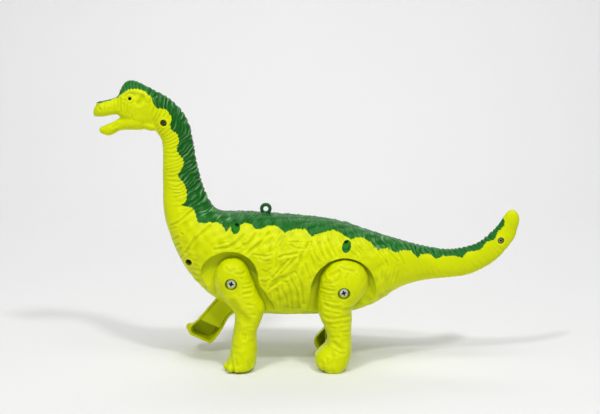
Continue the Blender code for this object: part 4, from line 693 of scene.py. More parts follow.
def skin_folds(places, normals):
    """How far each point moves out (the creases move in)."""
    x, y, z = places.T
    ring, up, slow = ring_line(places)
    wander = waves(places, *WANDER_WAVE)

    beyond_head = step_up(x + (z - NAPE_Z) * NAPE_SLANT, HEAD_END_X - 0.003, HEAD_END_X + 0.005)
    neck = step_up(z, NECK_FOOT_Z - NECK_FOOT_BLEND, NECK_FOOT_Z) * beyond_head
    tail = step_up(x, TAIL_START_X - TAIL_BLEND, TAIL_START_X + TAIL_BLEND)
    trunk = (1 - neck) * (1 - tail) * beyond_head
    height = up + EDGE_WAVE * slow
    back = step_up(height, *BACK_HEIGHTS)

    depth = folds("neck", ring) * neck * (1 - 0.5 * back) * uneven(wander, 0.28)
    calm = uneven(np.maximum(neck, tail), 1 - CALM_BACK)
    depth += folds("back", ring) * back * beyond_head * calm * uneven(slow, 0.2)
    cap = (1 - beyond_head) * step_up(z, CAP_START_Z, CAP_END_Z)
    depth += folds("cap", x + 0.35 * z + 0.0007 * wander) * cap
    painted = step_up(height, *PAINTED_HEIGHTS) * beyond_head * (1 - 0.6 * neck)
    painted *= 1 + 0.5 * sum(bell(x, middle, width) for middle, width in WORN_AND_SHEEN_PARTS)
    depth += folds("streaks", ring) * painted * step_up(wander, -0.5, 0.5)

    leaning = fold((0.80 * x + 0.60 * z + 0.0030 * slow + 0.0008 * wander) / CROSS_PITCH, 0.5)
    rising = fold((0.62 * x - 0.78 * z + 0.0034 * wander) / CROSS_PITCH, 0.5)
    depth += (leaning * rising - 0.6) * CROSS_DEPTH * trunk * (1 - back) * uneven(slow, 0.4)
    depth += waves(places, *SWELL_WAVE) * SWELL_DEPTH * trunk
    front = step_up(-up, *CHEST_DEPTHS) * step_up(-x, *CHEST_PLACES) * (1 - neck) * beyond_head
    depth += folds("chest", z + 0.25 * x + 0.0008 * slow) * front
    under = step_up(-up, *TAIL_DEPTHS)
    depth += folds("tail", ring + 0.0012 * wander) * tail * under * uneven(wander, 0.4)

    depth *= 1 - step_up(z, TAIL_TIP_Z - TAIL_TIP_BLEND, TAIL_TIP_Z) * (x > TAIL_START_X)
    sideways = step_up(np.abs(normals[:, 1]), *FACING_SIDEWAYS)
    depth += stroked(x, z, SKIN_STROKES) * sideways
    from_eye = np.hypot(x - EYE.x, z - EYE.z)
    lid = bell(from_eye, LID_RADIUS, RIM_WIDTH) * LID_HEIGHT
    depth += (lid - bell(from_eye, EYE_GROOVE, RIM_WIDTH / 2) * EYE_GROOVE_DEPTH) * sideways
    for hole_x, hole_z in COLLAR_HOLES:
        away = np.hypot(x - hole_x, z - hole_z)
        depth *= step_up(away, *FLAT_RADII)
        depth += bell(away, COLLAR_RADIUS, RIM_WIDTH) * COLLAR_HEIGHT
    return depth


skin_places, skin_normals = points_of(skin)
skin_depth = skin_folds(skin_places, skin_normals)
move_points(skin, skin_places + skin_normals * skin_depth[:, None])
print("folds from", round(skin_depth.min() * 1000, 2), "to", round(skin_depth.max() * 1000, 2), "mm")

# %% [markdown]
# What is cut into the body is straight across it: wells for the legs, round holes, slots. So each tool
# is an outline in the XZ plane that is pulled along Y. The wells' outlines are rows of shares again.

# %% Outlines and prisms
FIT_GAP = 0.0003
OVERRUN = 0.02
PILOT_SIDES = 16
POST_SIDES = 24
BOSS_SIDES = 28
HOLE_SIDES = 32
HUB_SIDES = 40
WIDE_SIDES = 48
WELL_FLOOR_Y = 0.019
CHANNEL_Y = WELL_FLOOR_Y - SHELL_WALL
FRONT_WELL_RADIUS = 0.0192
REAR_WELL_RADIUS = 0.023
FRONT_WELL_SHARES = (
    (1.62, -3.6), (1.58, -1.3), (1.5, -1), (1.36, -0.72), (1.18, -0.42), (1.02, -0.18), (0.98, 0.04),
    (0.93, 0.32), (0.79, 0.62), (0.54, 0.86), (0.2, 0.99), (-0.18, 1.01), (-0.53, 0.92), (-0.86, 0.73),
    (-1.08, 0.44), (-1.18, 0.05), (-1.22, -0.4), (-1.27, -0.9), (-1.35, -1.5), (-1.35, -3.6),
)
REAR_WELL_SHARES = (
    (0.9, -3), (0.9, -0.6), (0.95, -0.26), (1, -0.04), (0.96, 0.26), (0.82, 0.6), (0.55, 0.87), (0.2, 1.01),
    (-0.12, 1.02), (-0.45, 0.91), (-0.75, 0.68), (-0.93, 0.38), (-1.01, 0.05), (-1.05, -0.35),
    (-1.12, -0.8), (-1.15, -3),
)


def rounded_outline(shares, radius, centre, steps=4):
    """A well's outline with a smooth curve between its points. The two ends stay straight."""
    points = through(np.array(shares[1:-1]), steps)
    points = np.vstack([shares[0], points, shares[-1]])
    return [(centre.x + px * radius, centre.z + pz * radius) for px, pz in points]


def circle_outline(radius, sides, x=0.0, z=0.0):
    turns = np.arange(sides) / sides * 2 * np.pi
    return [(x + radius * math.cos(turn), z + radius * math.sin(turn)) for turn in turns]


def grown(outline, step):
    """The outline moved outwards by a step."""
    points = np.array(outline)
    before = points - np.roll(points, 1, axis=0)
    after = np.roll(points, -1, axis=0) - points
    before /= np.linalg.norm(before, axis=1)[:, None]
    after /= np.linalg.norm(after, axis=1)[:, None]
    normal = before + after
    normal = np.stack([normal[:, 1], -normal[:, 0]], axis=1)
    normal /= np.linalg.norm(normal, axis=1)[:, None]
    area = (points[:, 0] * np.roll(points[:, 1], -1) - np.roll(points[:, 0], -1) * points[:, 1]).sum()
    return [tuple(point) for point in points + normal * step * np.sign(area)]


def prism(outline, start_y, end_y):
    """The outline, drawn in the XZ plane, pulled from start_y to end_y."""
    mesh = bmesh.new()
    face = mesh.faces.new([mesh.verts.new((x, start_y, z)) for x, z in outline])
    pulled = bmesh.ops.extrude_face_region(mesh, geom=[face])
    moved = [item for item in pulled["geom"] if isinstance(item, bmesh.types.BMVert)]
    shifted(mesh, 0, end_y - start_y, 0, moved)
    mesh.normal_update()
    bmesh.ops.recalc_face_normals(mesh, faces=mesh.faces)
    return mesh


def round_cut(item, radius, sides, x, z, start_y, end_y, operation="DIFFERENCE"):
    return cut(item, prism(circle_outline(radius, sides, x, z), start_y, end_y), operation)


def box_cut(item, x_low, x_high, z_low, z_high, start_y, end_y, operation="DIFFERENCE"):
    outline = [(x_low, z_low), (x_high, z_low), (x_high, z_high), (x_low, z_high)]
    return cut(item, prism(outline, start_y, end_y), operation)


FRONT_WELL = rounded_outline(FRONT_WELL_SHARES, FRONT_WELL_RADIUS, FRONT_AXLE)
REAR_WELL = rounded_outline(REAR_WELL_SHARES, REAR_WELL_RADIUS, REAR_HIP)
print("wells of", len(FRONT_WELL), "and", len(REAR_WELL), "points")

# %% [markdown]
# The halves are moulded about 1.8 mm thick, with a post for each screw and a wall round each well. The
# hollow is a smaller loft inside the skin. Wells and posts are first cut out of the hollow, one wall
# larger than they are, so that cutting the hollow out of the skin leaves their walls standing.

# %% Hollowing the skin
SHELL_SCREW_SHARES = {
    "neck": (-0.3355, 0.856), "chest": (-0.2785, 0.373), "shoulder": (-0.1665, 0.498),
    "hip": (0.0894, 0.437), "tail": (0.4563, 0.440),
}
SHELL_SCREWS = {name: (x * BODY_LENGTH, z * BODY_HEIGHT) for name, (x, z) in SHELL_SCREW_SHARES.items()}
SCREW_HOLE_RADIUS = 0.0024
SCREW_SEAT_DEPTH = 0.0022
SCREW_SHANK_RADIUS = 0.00075
BOSS_WALL = 0.0016
INNER_BULGE = 0.0004
CAVITY_SEGMENTS = 48
FAR_Y = BODY_HALF_WIDTH + OVERRUN

inner_rows = through(body_rows[HOLLOW_ROWS], 3)
inner = loft(section_loops(inner_rows, INNER_BULGE, INNER_BULGE, SHELL_WALL), CAVITY_SEGMENTS)
hollow = to_object("hollow", inner)
for outline in (FRONT_WELL, REAR_WELL):
    for side in (-1, 1):
        cut(hollow, prism(grown(outline, SHELL_WALL), side * CHANNEL_Y, side * FAR_Y))
for name, (x, z) in SHELL_SCREWS.items():
    if name != "tail":
        round_cut(hollow, SCREW_HOLE_RADIUS + BOSS_WALL, POST_SIDES, x, z, -FAR_Y, FAR_Y)

cut(skin, as_tool(hollow))
for outline in (FRONT_WELL, REAR_WELL):
    for side in (-1, 1):
        cut(skin, prism(outline, side * WELL_FLOOR_Y, side * FAR_Y))
print("hollow skin:", len(skin.data.polygons), "faces")

# %% [markdown]
# The battery door is cut out of the belly, so its skin carries on the folds round it. Then come the slot
# for the switch, the slot for the eyelet, the windows for the crank pins, and the split into two halves.

# %% Door, slots and halves
BOX_END_X = 0.0129
DOOR_START_X = -0.0445
DOOR_SCREW_X = BOX_END_X + 0.0026 + FIT_GAP
DOOR_END_X = DOOR_SCREW_X + 0.0042
DOOR_HALF_WIDTH = 0.0148
DOOR_TOP_Z = 0.0448
DOOR_SCREW_HEAD_RADIUS = 0.0019
DOOR_SCREW_SEAT_Z = 0.0370
SLIDER_TRAVEL = 0.003
STEM_INSET = 0.0004
FRONT_WINDOW_RADIUS = 0.0046
REAR_WINDOW_RADIUS = 0.0045
REAR_AXLE = Vector((0.025, 0, 0.069))
STEM_HALF = 0.0028
REACH = 0.2
SEAM_GAP = 0.00006

door = duplicate(skin, "door_skin")
wide = DOOR_HALF_WIDTH
box_cut(door, DOOR_START_X, DOOR_END_X, -OVERRUN, DOOR_TOP_Z, -wide, wide, "INTERSECT")
wide += FIT_GAP
box_cut(skin, DOOR_START_X - FIT_GAP, DOOR_END_X + FIT_GAP, -OVERRUN, DOOR_TOP_Z + FIT_GAP, -wide, wide)
for radius, top in ((DOOR_SCREW_HEAD_RADIUS, DOOR_SCREW_SEAT_Z), (SCREW_SHANK_RADIUS, DOOR_TOP_Z)):
    upright = turned(prism(circle_outline(radius + FIT_GAP, BOSS_SIDES), 0, top), 90, "X")
    cut(door, shifted(upright, DOOR_SCREW_X, 0, 0))

low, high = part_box("switch_slider")
stem_start = low.x + STEM_INSET - FIT_GAP
stem_end = high.x - STEM_INSET + SLIDER_TRAVEL + FIT_GAP
box_cut(skin, stem_start, stem_end, low.z - OVERRUN, high.z - 0.001, low.y - FIT_GAP, high.y + FIT_GAP)
low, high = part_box("back_eyelet")
eyelet_x = (low.x + high.x) / 2
slot = STEM_HALF + FIT_GAP
box_cut(skin, eyelet_x - slot, eyelet_x + slot, low.z, high.z, low.y - FIT_GAP, high.y + FIT_GAP)
for side in (-1, 1):
    inside = side * (CHANNEL_Y - SHELL_WALL)
    outside = side * (WELL_FLOOR_Y + SHELL_WALL)
    round_cut(skin, FRONT_WINDOW_RADIUS, HOLE_SIDES, FRONT_AXLE.x, FRONT_AXLE.z, inside, outside)
    round_cut(skin, REAR_WINDOW_RADIUS, HOLE_SIDES, REAR_AXLE.x, REAR_AXLE.z, inside, outside)

halves = {}
for name, side in (("left", -1), ("right", 1)):
    half = duplicate(skin, f"body_skin_{name}")
    seam, outside = side * SEAM_GAP / 2, side * FAR_Y
    halves[name] = box_cut(half, -REACH, REACH, -REACH, 2 * REACH, seam, outside, "INTERSECT")
bpy.data.objects.remove(skin)
print("halves:", {name: len(half.data.polygons) for name, half in halves.items()})

# %% [markdown]
# Five screws go in from the left, at the bottom of open holes. The rear legs turn on a boss that stands
# on the well's floor, and a peg above each front crank steers the front leg.

# %% Screw holes and bosses
HIP_BOSS_RADIUS = 0.0026
HUB_SEAT_Y = 0.0315
LEG_Y = 0.0198
GUIDE_PEG_RADIUS = 0.0014
GUIDE_PEG_RISE = 0.0115
HIP_SHANK_LENGTH = 0.007
SHANK_LENGTH = 0.0055
RUN_GAP = 0.0005
PILOT_RADIUS = SCREW_SHANK_RADIUS + FIT_GAP
FLARED_HOLES = {
    # half width and half height of the mouth, and how far its top leans towards the tail
    "shoulder": (0.0027, 0.0036, 14),
    "hip": (0.0030, 0.0042, 16),
}
FLARE_START_Y = -0.010
FLARE_END_Y = -0.024


def cone(start_radius, end_radius, depth, segments):
    """A cone round the Y axis, centred on the origin."""
    mesh = bmesh.new()
    bmesh.ops.create_cone(
        mesh, cap_ends=True, segments=segments, radius1=start_radius, radius2=end_radius, depth=depth
    )
    return turned(mesh, 90, "X")


def flare(x, z, wide, tall, lean):
    """A cone that widens outwards, from the hole's own radius to an oval mouth."""
    mesh = cone(SCREW_HOLE_RADIUS / wide, 1.0, FLARE_START_Y - FLARE_END_Y, HUB_SIDES)
    bmesh.ops.scale(mesh, vec=(wide, 1, tall), verts=mesh.verts)
    return shifted(turned(mesh, lean, "Y"), x, (FLARE_START_Y + FLARE_END_Y) / 2, z)


for name, shape in FLARED_HOLES.items():
    cut(halves["left"], flare(*SHELL_SCREWS[name], *shape))
for name, side in (("left", -1), ("right", 1)):
    half = halves[name]
    root = side * (WELL_FLOOR_Y - SHELL_WALL / 2)
    hip, peg = (REAR_HIP.x, REAR_HIP.z), (FRONT_AXLE.x, FRONT_AXLE.z + GUIDE_PEG_RISE)
    round_cut(half, HIP_BOSS_RADIUS, BOSS_SIDES, *hip, root, side * HUB_SEAT_Y, "UNION")
    round_cut(half, GUIDE_PEG_RADIUS, POST_SIDES, *peg, root, side * (LEG_Y - FIT_GAP), "UNION")
    bore_start = side * (HUB_SEAT_Y - HIP_SHANK_LENGTH - RUN_GAP)
    round_cut(half, PILOT_RADIUS, PILOT_SIDES, *hip, bore_start, side * (HUB_SEAT_Y + RUN_GAP))
for place in SHELL_SCREWS.values():
    round_cut(halves["left"], SCREW_HOLE_RADIUS, HOLE_SIDES, *place, -SCREW_SEAT_DEPTH, -FAR_Y)
    round_cut(halves["left"], PILOT_RADIUS, PILOT_SIDES, *place, -SCREW_SEAT_DEPTH - FIT_GAP, FIT_GAP)
    pilot_end = SHANK_LENGTH - SCREW_SEAT_DEPTH + RUN_GAP
    round_cut(halves["right"], PILOT_RADIUS, PILOT_SIDES, *place, -FIT_GAP, pilot_end)
print("halves with holes:", {name: len(half.data.polygons) for name, half in halves.items()})

# %% [markdown]
# The back is sprayed green over the lime plastic, through a mask whose edge hangs in points between
# round lobes. The edge below is read off the photograph in its own pixels, and a ray through each pixel
# finds it on the body's side. Each point of the skin then stores its distance from that edge, and the
# other numbers that the material reads: the depth of the fold it is on, which also sets painted shade and
# highlight, where the green is lighter from paint rubbed thin and a painted highlight, the painted light
# inside two holes, the pupil.

# %% Paint edge
PAINT_EDGE_PIXELS = (
    (94, 104), (100, 103.2), (109, 101), (117, 97.4), (121, 94.5), (124, 93), (128, 90), (137, 89),
    (143, 91), (147, 94), (151, 98), (153, 103), (156, 108), (165, 109), (169, 113), (171, 117), (172, 120),
    (170, 125), (171, 130), (175, 132), (178, 136), (179, 141), (178, 145), (176, 149), (180, 156),
    (183, 158), (184, 163), (182, 168), (179, 173), (178, 177), (183, 182), (185, 186), (187, 193),
    (187, 197), (185, 202), (181, 205), (189, 207), (194, 210), (196, 216), (198, 223), (208, 223),
    (216, 223), (222, 225), (226, 232), (230, 226), (233, 234), (238, 230), (240, 225), (246, 223),
    (252, 225), (256, 230), (262, 229), (268, 226), (274, 226), (281, 229), (285, 234), (289, 231),
    (296, 229), (305, 229), (309, 234), (312, 237), (316, 234), (324, 232), (334, 230), (342, 234),
    (351, 240), (355, 238), (363, 238), (370, 242), (374, 247), (378, 250), (387, 248), (395, 253),
    (403, 250), (411, 251), (418, 258), (421, 254), (429, 254), (436, 259), (443, 256), (455, 256),
    (462, 258), (467, 252), (480, 250), (487, 242), (495, 239), (498, 232), (504, 226), (505, 221),
    (503, 217),
)
PAINT_ROOF = ((0.13, 0.125), (0.13, 0.26), (-0.17, 0.26), (-0.17, 0.19))


def inside_by(outline, x, z):
    """Signed distance to a closed outline: positive inside."""
    inside = np.zeros(len(x), bool)
    nearest = np.full(len(x), np.inf)
    for (ax, az), (bx, bz) in zip(outline, np.roll(outline, -1, axis=0)):
        crosses = (az > z) != (bz > z)
        with np.errstate(divide="ignore", invalid="ignore"):
            at = ax + (z - az) / (bz - az) * (bx - ax)
        inside ^= crosses & (x < at)
        run, rise = bx - ax, bz - az
        share = np.clip(((x - ax) * run + (z - az) * rise) / (run**2 + rise**2), 0, 1)
        nearest = np.minimum(nearest, np.hypot(x - ax - share * run, z - az - share * rise))
    return np.where(inside, nearest, -nearest)


HOLE_RIM = 0.0001
PUPIL_RADIUS = 0.00125
MASK_LIMIT = 0.004
SEAM_WIDTH = 0.00045
SEAM_DARK = 0.0004
# How much lighter green, partly paint rubbed thin and partly a painted highlight, shows on the neck and on
# the cap
NECK_WEAR_AND_SHEEN = 0.62
CAP_WEAR_AND_SHEEN = 0.40
NECK_FADE = 0.030
OUTLINE = np.array([side_place(pixel) for pixel in PAINT_EDGE_PIXELS] + list(PAINT_ROOF))


def paint(item):
    """Stores what the material needs, lengths in millimetres."""
    places, normals = points_of(item)
    x, y, z = places.T
    oval = np.full(len(x), -1.0)
    # Painted light inside the two flared holes: an emission on their walls that grows towards the bottom
    hole_painted_light = np.zeros(len(x))
    for name, (wide, tall, lean) in FLARED_HOLES.items():
        hole_x, hole_z = SHELL_SCREWS[name]
        turn = math.radians(lean)
        across = (x - hole_x) * math.cos(turn) - (z - hole_z) * math.sin(turn)
        upward = (x - hole_x) * math.sin(turn) + (z - hole_z) * math.cos(turn)
        inside = (1 - np.hypot(across / wide, upward / tall)) * wide + HOLE_RIM
        oval = np.maximum(oval, np.where(y < 0, inside, -1.0))
        hole_painted_light = np.maximum(hole_painted_light, np.where((inside > 0) & (y < 0), step_up(y, FLARE_END_Y, FLARE_START_Y), 0.0))
    ring, up, _ = ring_line(places)
    on_neck = step_up(z, NECK_FOOT_Z - NECK_FADE, NECK_FOOT_Z)
    # Where the green gets lighter: partly paint rubbed thin, partly a painted highlight
    wear_and_sheen = np.where(x > HEAD_END_X, NECK_WEAR_AND_SHEEN, CAP_WEAR_AND_SHEEN) * on_neck
    for middle, width in WORN_AND_SHEEN_PARTS:
        wear_and_sheen = np.maximum(wear_and_sheen, bell(x, middle, width) * (z < NECK_FOOT_Z))
    seam = np.clip(1 - np.abs(y) / SEAM_WIDTH, 0, 1) * SEAM_DARK
    for name, values in {
        "paint": np.clip(inside_by(OUTLINE, x, z), -MASK_LIMIT, MASK_LIMIT) * 1000,
        "oval": np.clip(oval, -MASK_LIMIT, MASK_LIMIT) * 1000,
        "wear_and_sheen": wear_and_sheen,
        "deeper": on_neck * (x > HEAD_END_X),
        "fold": (skin_folds(places, normals) - seam) * 1000,
        "ring": ring * 1000,
        "upward": up * 10,
        "hole_painted_light": hole_painted_light,
        "pupil": (PUPIL_RADIUS - np.hypot(x - EYE.x, z - EYE.z)) * 1000,
    }.items():
        store(item, name, values)


for item in (*halves.values(), door):
    paint(item)
print("paint edge of", len(OUTLINE), "points")

# %% [markdown]
# Each leg is a hollow shell too: flat on its inner side, round outside. Its table gives the height, the
# front, the back and the thickness of each section as shares of the leg's length, counted from the hip.

# %% Sections of the legs
FRONT_LEG_SHARES = (
    (0.262, -0.02, 0.06, 0.42), (0.24, -0.08, 0.12, 0.62), (0.19, -0.13, 0.17, 0.82),
    (0.11, -0.18, 0.205, 0.92), (0, -0.198, 0.236, 0.95), (-0.11, -0.17, 0.268, 0.94),
    (-0.205, -0.103, 0.297, 0.91), (-0.31, -0.04, 0.335, 0.88), (-0.385, -0.012, 0.325, 0.86),
    (-0.52, -0.04, 0.255, 0.84), (-0.62, -0.068, 0.205, 0.86), (-0.8, -0.118, 0.193, 0.94),
    (-0.925, -0.172, 0.168, 1), (-0.975, -0.16, 0.153, 0.98), (-1, -0.125, 0.13, 0.93),
)
REAR_LEG_SHARES = (
    (0.386, -0.035, 0.065, 0.42), (0.355, -0.145, 0.16, 0.64), (0.3, -0.205, 0.24, 0.8),
    (0.175, -0.284, 0.302, 0.92), (0.06, -0.3, 0.3, 0.96), (-0.04, -0.312, 0.262, 0.96),
    (-0.15, -0.318, 0.165, 0.94), (-0.24, -0.316, 0.105, 0.91), (-0.35, -0.286, 0.11, 0.88),
    (-0.505, -0.214, 0.102, 0.85), (-0.64, -0.205, 0.105, 0.86), (-0.745, -0.3, 0.107, 0.93),
    (-0.83, -0.352, 0.093, 1), (-0.925, -0.322, 0.066, 0.99), (-1, -0.24, 0.01, 0.92),
)
FRONT_LEG_LENGTH = 0.0626
REAR_LEG_LENGTH = 0.057
LEG_THICKNESS = 0.0186
LEG_WALL = 0.0017
LEG_POWER = 2.6
LEG_SEGMENTS = 56
LEG_VOXEL = 0.00048
LEG_SMOOTH_ROUNDS = 5
INNER_LAP = 0.0012


def half_round(angle):
    """A section that is rounded on one side and flat on the other."""
    along, across = full_round(angle, LEG_POWER)
    return along, max(across, 0.0)


def leg_rows(shares, length, wall):
    """Height, front, back and thickness of each section, drawn in by a wall at the top and the sole."""
    rows = through(np.array(shares), 4) * np.array((length, length, length, LEG_THICKNESS))
    top, bottom = rows[0][0], rows[-1][0]
    middle = (top + bottom) / 2
    squeeze = (top - bottom - 2 * wall) / (top - bottom)
    rows[:, 0] = middle + (rows[:, 0] - middle) * squeeze
    return rows


def leg_form(shares, length, wall=0.0, lap=INNER_LAP):
    """The closed form of a leg, or of the hollow inside it, round its hip. The outer side is towards +Y."""
    loops = []
    for height, front, back, depth in leg_rows(shares, length, wall):
        half = max((back - front) / 2 - wall, wall / 2)
        centre = Vector(((front + back) / 2, 0, height))
        loops.append((centre, Vector((half, 0, 0)), Vector((0, depth - wall, 0))))
    return loft(loops, LEG_SEGMENTS, half_round, lap)


print(len(leg_rows(FRONT_LEG_SHARES, FRONT_LEG_LENGTH, 0)), "sections in a leg")

# %% [markdown]
# The feet carry blunt toes, parted by grooves. The creases and the small scales of the thighs are strokes
# again, drawn on the two legs that the photograph shows. The far legs carry the same ones, mirrored.
# Finer wrinkles follow a rule, and the skin stays smooth round the screw.

# %% Toes and creases of the legs
HUB_RADIUS = 0.0059
HIP_HOLE_RADIUS = 0.0042
MOUTH_RADIUS = 0.00495
MOUTH_DEPTH = 0.0030
FRONT_TOES = (
    # share of the length ahead and up, share of the thickness outwards, radii
    (-0.160, -0.945, 0.42, 0.0030, 0.0034, 0.0029), (-0.118, -0.948, 0.80, 0.0032, 0.0030, 0.0029),
    (-0.030, -0.952, 0.93, 0.0034, 0.0026, 0.0027),
)
REAR_TOES = (
    (-0.292, -0.885, 0.42, 0.0034, 0.0036, 0.0042), (-0.235, -0.895, 0.72, 0.0042, 0.0036, 0.0042),
    (-0.130, -0.915, 0.86, 0.0048, 0.0030, 0.0038),
)
FRONT_STROKES = (
    (0.7, -0.42, (225.5, 268.4), (230, 271.4), (235, 270)), (0.6, 0.3, (227, 266.5), (231, 266)),
    (0.7, -0.45, (235.5, 273.2), (240, 274.8), (244.5, 273.6)), (0.6, -0.25, (236, 277.5), (243, 279)),
    (0.6, -0.4, (243.5, 284.4), (250.5, 284.8)), (0.6, -0.4, (243.5, 288.6), (251, 288.4)),
    (0.7, -0.5, (243.5, 294), (251, 293.4)), (0.6, -0.3, (244, 298.6), (251, 298.8)),
    (0.6, -0.22, (213.5, 284.5), (217, 285)), (0.6, -0.22, (215, 290), (221, 292)),
    (0.6, 0.34, (240.3, 280.8), (240.8, 281.2)), (0.6, 0.34, (240.8, 297.8), (241.3, 298.2)),
    (0.6, 0.3, (251.4, 295.3), (251.8, 295.8)), (0.6, 0.34, (247.8, 307.6), (252, 307.6)),
    (0.7, -0.4, (247.6, 304.6), (251.6, 305.4)), (0.6, 0.3, (253, 304), (253.4, 305)),
    (0.6, 0.34, (252.2, 317.6), (257, 317.7)), (0.6, -0.26, (250, 314.6), (255, 315)),
    (1.8, -0.7, (233, 302.5), (238, 310), (242.5, 315.5), (247, 320.5)),
    (0.6, -0.45, (242.4, 334), (242.5, 339.6)), (0.7, -0.6, (244.9, 335), (245, 340)),
    (0.6, 0.28, (247.5, 336.5), (248, 341)), (0.6, 0.26, (240, 343.2), (244.5, 343.2)),
    (0.6, -0.24, (249, 341.5), (255, 341.5)), (0.9, -0.34, (232.5, 347.6), (240, 348.6)),
    (0.7, -0.24, (233, 324), (240, 325.5)), (0.6, -0.22, (247, 328), (257, 328.5)),
    (0.6, 0.3, (244.8, 356.4), (245.2, 357)),
    (0.8, -0.38, (230.8, 351), (231, 358), (232.6, 364.5), (234, 373)),
    (0.8, -0.32, (236, 359.5), (237.4, 366), (239.8, 373)),
    (0.7, -0.34, (247.8, 361), (249.6, 366.5), (250.2, 372)), (0.6, 0.26, (240.6, 364.6), (241.2, 365)),
    (0.6, -0.32, (240.8, 367.4), (241.2, 367.8)),
)
REAR_STROKES = (
    (0.8, -0.55, (339, 271.4), (334.5, 273.8), (329.5, 276.6)),
    (0.8, -0.5, (339.3, 272), (338.4, 279), (334.5, 282)),
    (0.7, -0.55, (340.5, 267.8), (345, 270), (350, 270.4), (355, 272)),
    (0.6, -0.4, (350, 271), (355, 274), (357.5, 276)), (0.6, -0.42, (345.5, 278), (349.4, 273.4)),
    (0.6, 0.36, (334, 277.4), (336, 277.6)), (0.6, 0.4, (328, 279.6), (331.5, 279.4)),
    (0.7, 0.36, (342.6, 272.6), (344.2, 272.8)), (0.6, -0.28, (345, 265.3), (349.5, 265.8)),
    (0.6, 0.32, (349.8, 273.8), (350.2, 274.4)), (0.6, 0.36, (358.8, 274.6), (359.2, 275.2)),
    (0.7, -0.34, (346.5, 278.4), (346.7, 284)), (0.6, -0.34, (324.5, 284), (333, 283.4)),
    (0.6, -0.3, (330.5, 287), (334, 287.4)), (0.7, -0.42, (321.5, 290), (329, 290.6), (336.5, 290.2)),
    (0.7, -0.46, (321.5, 293.6), (328, 295.2), (336, 294.6)), (0.7, -0.44, (323, 297.4), (331, 298.2)),
    (0.7, -0.38, (322.6, 300.4), (329, 301.3), (338, 303)),
    (0.9, -0.6, (325, 304.6), (330, 306.6), (340, 307)), (0.8, -0.5, (332, 309), (342, 309.6), (353, 309)),
    (0.7, -0.42, (325.6, 311.4), (332, 312.2), (339, 314)),
    (0.8, -0.5, (327, 317.6), (333, 319.3), (341, 317.8), (352, 317)), (0.7, -0.36, (323, 316), (328, 319)),
    (0.9, -0.5, (324, 323.6), (332, 324.4), (341, 322.6), (352, 323.4)),
    (0.7, -0.42, (329, 327.4), (334.6, 328.6)), (0.6, -0.3, (341, 328), (350, 327)),
    (0.7, -0.32, (342, 332.6), (350, 332.8)), (0.8, -0.42, (331.6, 338), (338.5, 338)),
    (0.6, -0.3, (343, 336.6), (349, 336.8)), (1.2, -0.62, (335, 344), (338.6, 347), (342.5, 348.6)),
    (0.7, -0.44, (335.5, 350.6), (339.5, 353.4), (344, 353.6)), (0.6, 0.36, (335.6, 352.4), (340.6, 355.4)),
    (0.6, 0.3, (336.5, 343), (341, 341.6)), (1, -0.3, (333.6, 351), (332.4, 361)),
    (0.9, -0.36, (327.4, 359.5), (327.8, 363.5)), (0.8, 0.3, (324.6, 360.6), (326, 362)),
    (0.9, -0.22, (321.8, 362.5), (323.4, 368), (327, 373)),
    (0.9, -0.18, (330.8, 363), (331.4, 368), (334, 373.5)),
)
DIMPLE_SIZE = 0.0050
DIMPLE_DEPTH = 0.00010
LEG_SIDE_Y = -0.0365
LEG_WAVE_SIZE = 0.014
KNEE_SHARE = -0.30
FACING_OUTWARDS = (0.10, 0.45)
RIM_PLACES = (0.0006, 0.0020)


def leg_folds(places, normals, length, seed, strokes):
    """Depth of the creases on a leg that stands round its hip."""
    x, y, z = places.T
    slow = waves(places, LEG_WAVE_SIZE, seed)
    below_knee = 1 - step_up(z, KNEE_SHARE * length, 0.0)
    wrinkles = folds("leg", z + 0.20 * x + SLOW_SHIFT * slow)
    depth = wrinkles * uneven(below_knee, 0.65) * step_up(slow, -0.3, 0.6)
    depth += waves(places, DIMPLE_SIZE, seed + 1) * DIMPLE_DEPTH
    depth += stroked(x, z, strokes) * step_up(normals[:, 1], *FACING_OUTWARDS)
    depth *= step_up(np.hypot(x, z), MOUTH_RADIUS + 0.0004, MOUTH_RADIUS + 0.0022)
    return depth * step_up(y, *RIM_PLACES)


print(len(FRONT_STROKES), "and", len(REAR_STROKES), "strokes on a front and a rear leg")

# %% [markdown]
# A leg is made round its own hip, skinned over, folded, flattened on its inner side and hollowed. The
# hub, which turns on the crank pin or on the boss, stays solid in the hollow. A leg is open at the foot:
# ribs stand in the rear feet, and the front ones are a plain recess. Last it goes to its hip.

# %% Carving the legs
FOOT_RIB_WALL = 0.0011
REAR_RIBS = (-0.20, -0.09)
COVER_LAP = 0.006
ANKLE_SHARE = -0.66
RIB_DEPTH_SHARE = 0.35
FRONT_SOLE_SHARE = 0.66
LEG_STROKE_SCALE = (1.25, 0.80)
LEGS = {
    # side, sections, length, toes, strokes, ribs in the foot, radius of the bore, seed of the wrinkles
    "front_left": (-1, FRONT_LEG_SHARES, FRONT_LEG_LENGTH, FRONT_TOES, FRONT_STROKES, (), 0.0031, 21),
    "front_right": (1, FRONT_LEG_SHARES, FRONT_LEG_LENGTH, FRONT_TOES, FRONT_STROKES, (), 0.0031, 23),
    "rear_left": (-1, REAR_LEG_SHARES, REAR_LEG_LENGTH, REAR_TOES, REAR_STROKES, REAR_RIBS, 0.0029, 25),
    "rear_right": (1, REAR_LEG_SHARES, REAR_LEG_LENGTH, REAR_TOES, REAR_STROKES, REAR_RIBS, 0.0029, 27),
}
HIPS = {
    # x, z, and how far the leg has swung, in degrees
    "front_left": (FRONT_AXLE.x, FRONT_AXLE.z - 0.0022, -6.5),
    "front_right": (FRONT_AXLE.x, FRONT_AXLE.z + 0.0022, 25.0),
    "rear_left": (REAR_HIP.x, REAR_HIP.z, 0.0),
    "rear_right": (REAR_HIP.x, REAR_HIP.z, 0.0),
}
HUB_DEPTH = HUB_SEAT_Y - LEG_Y
FAR_OUT = LEG_THICKNESS + OVERRUN


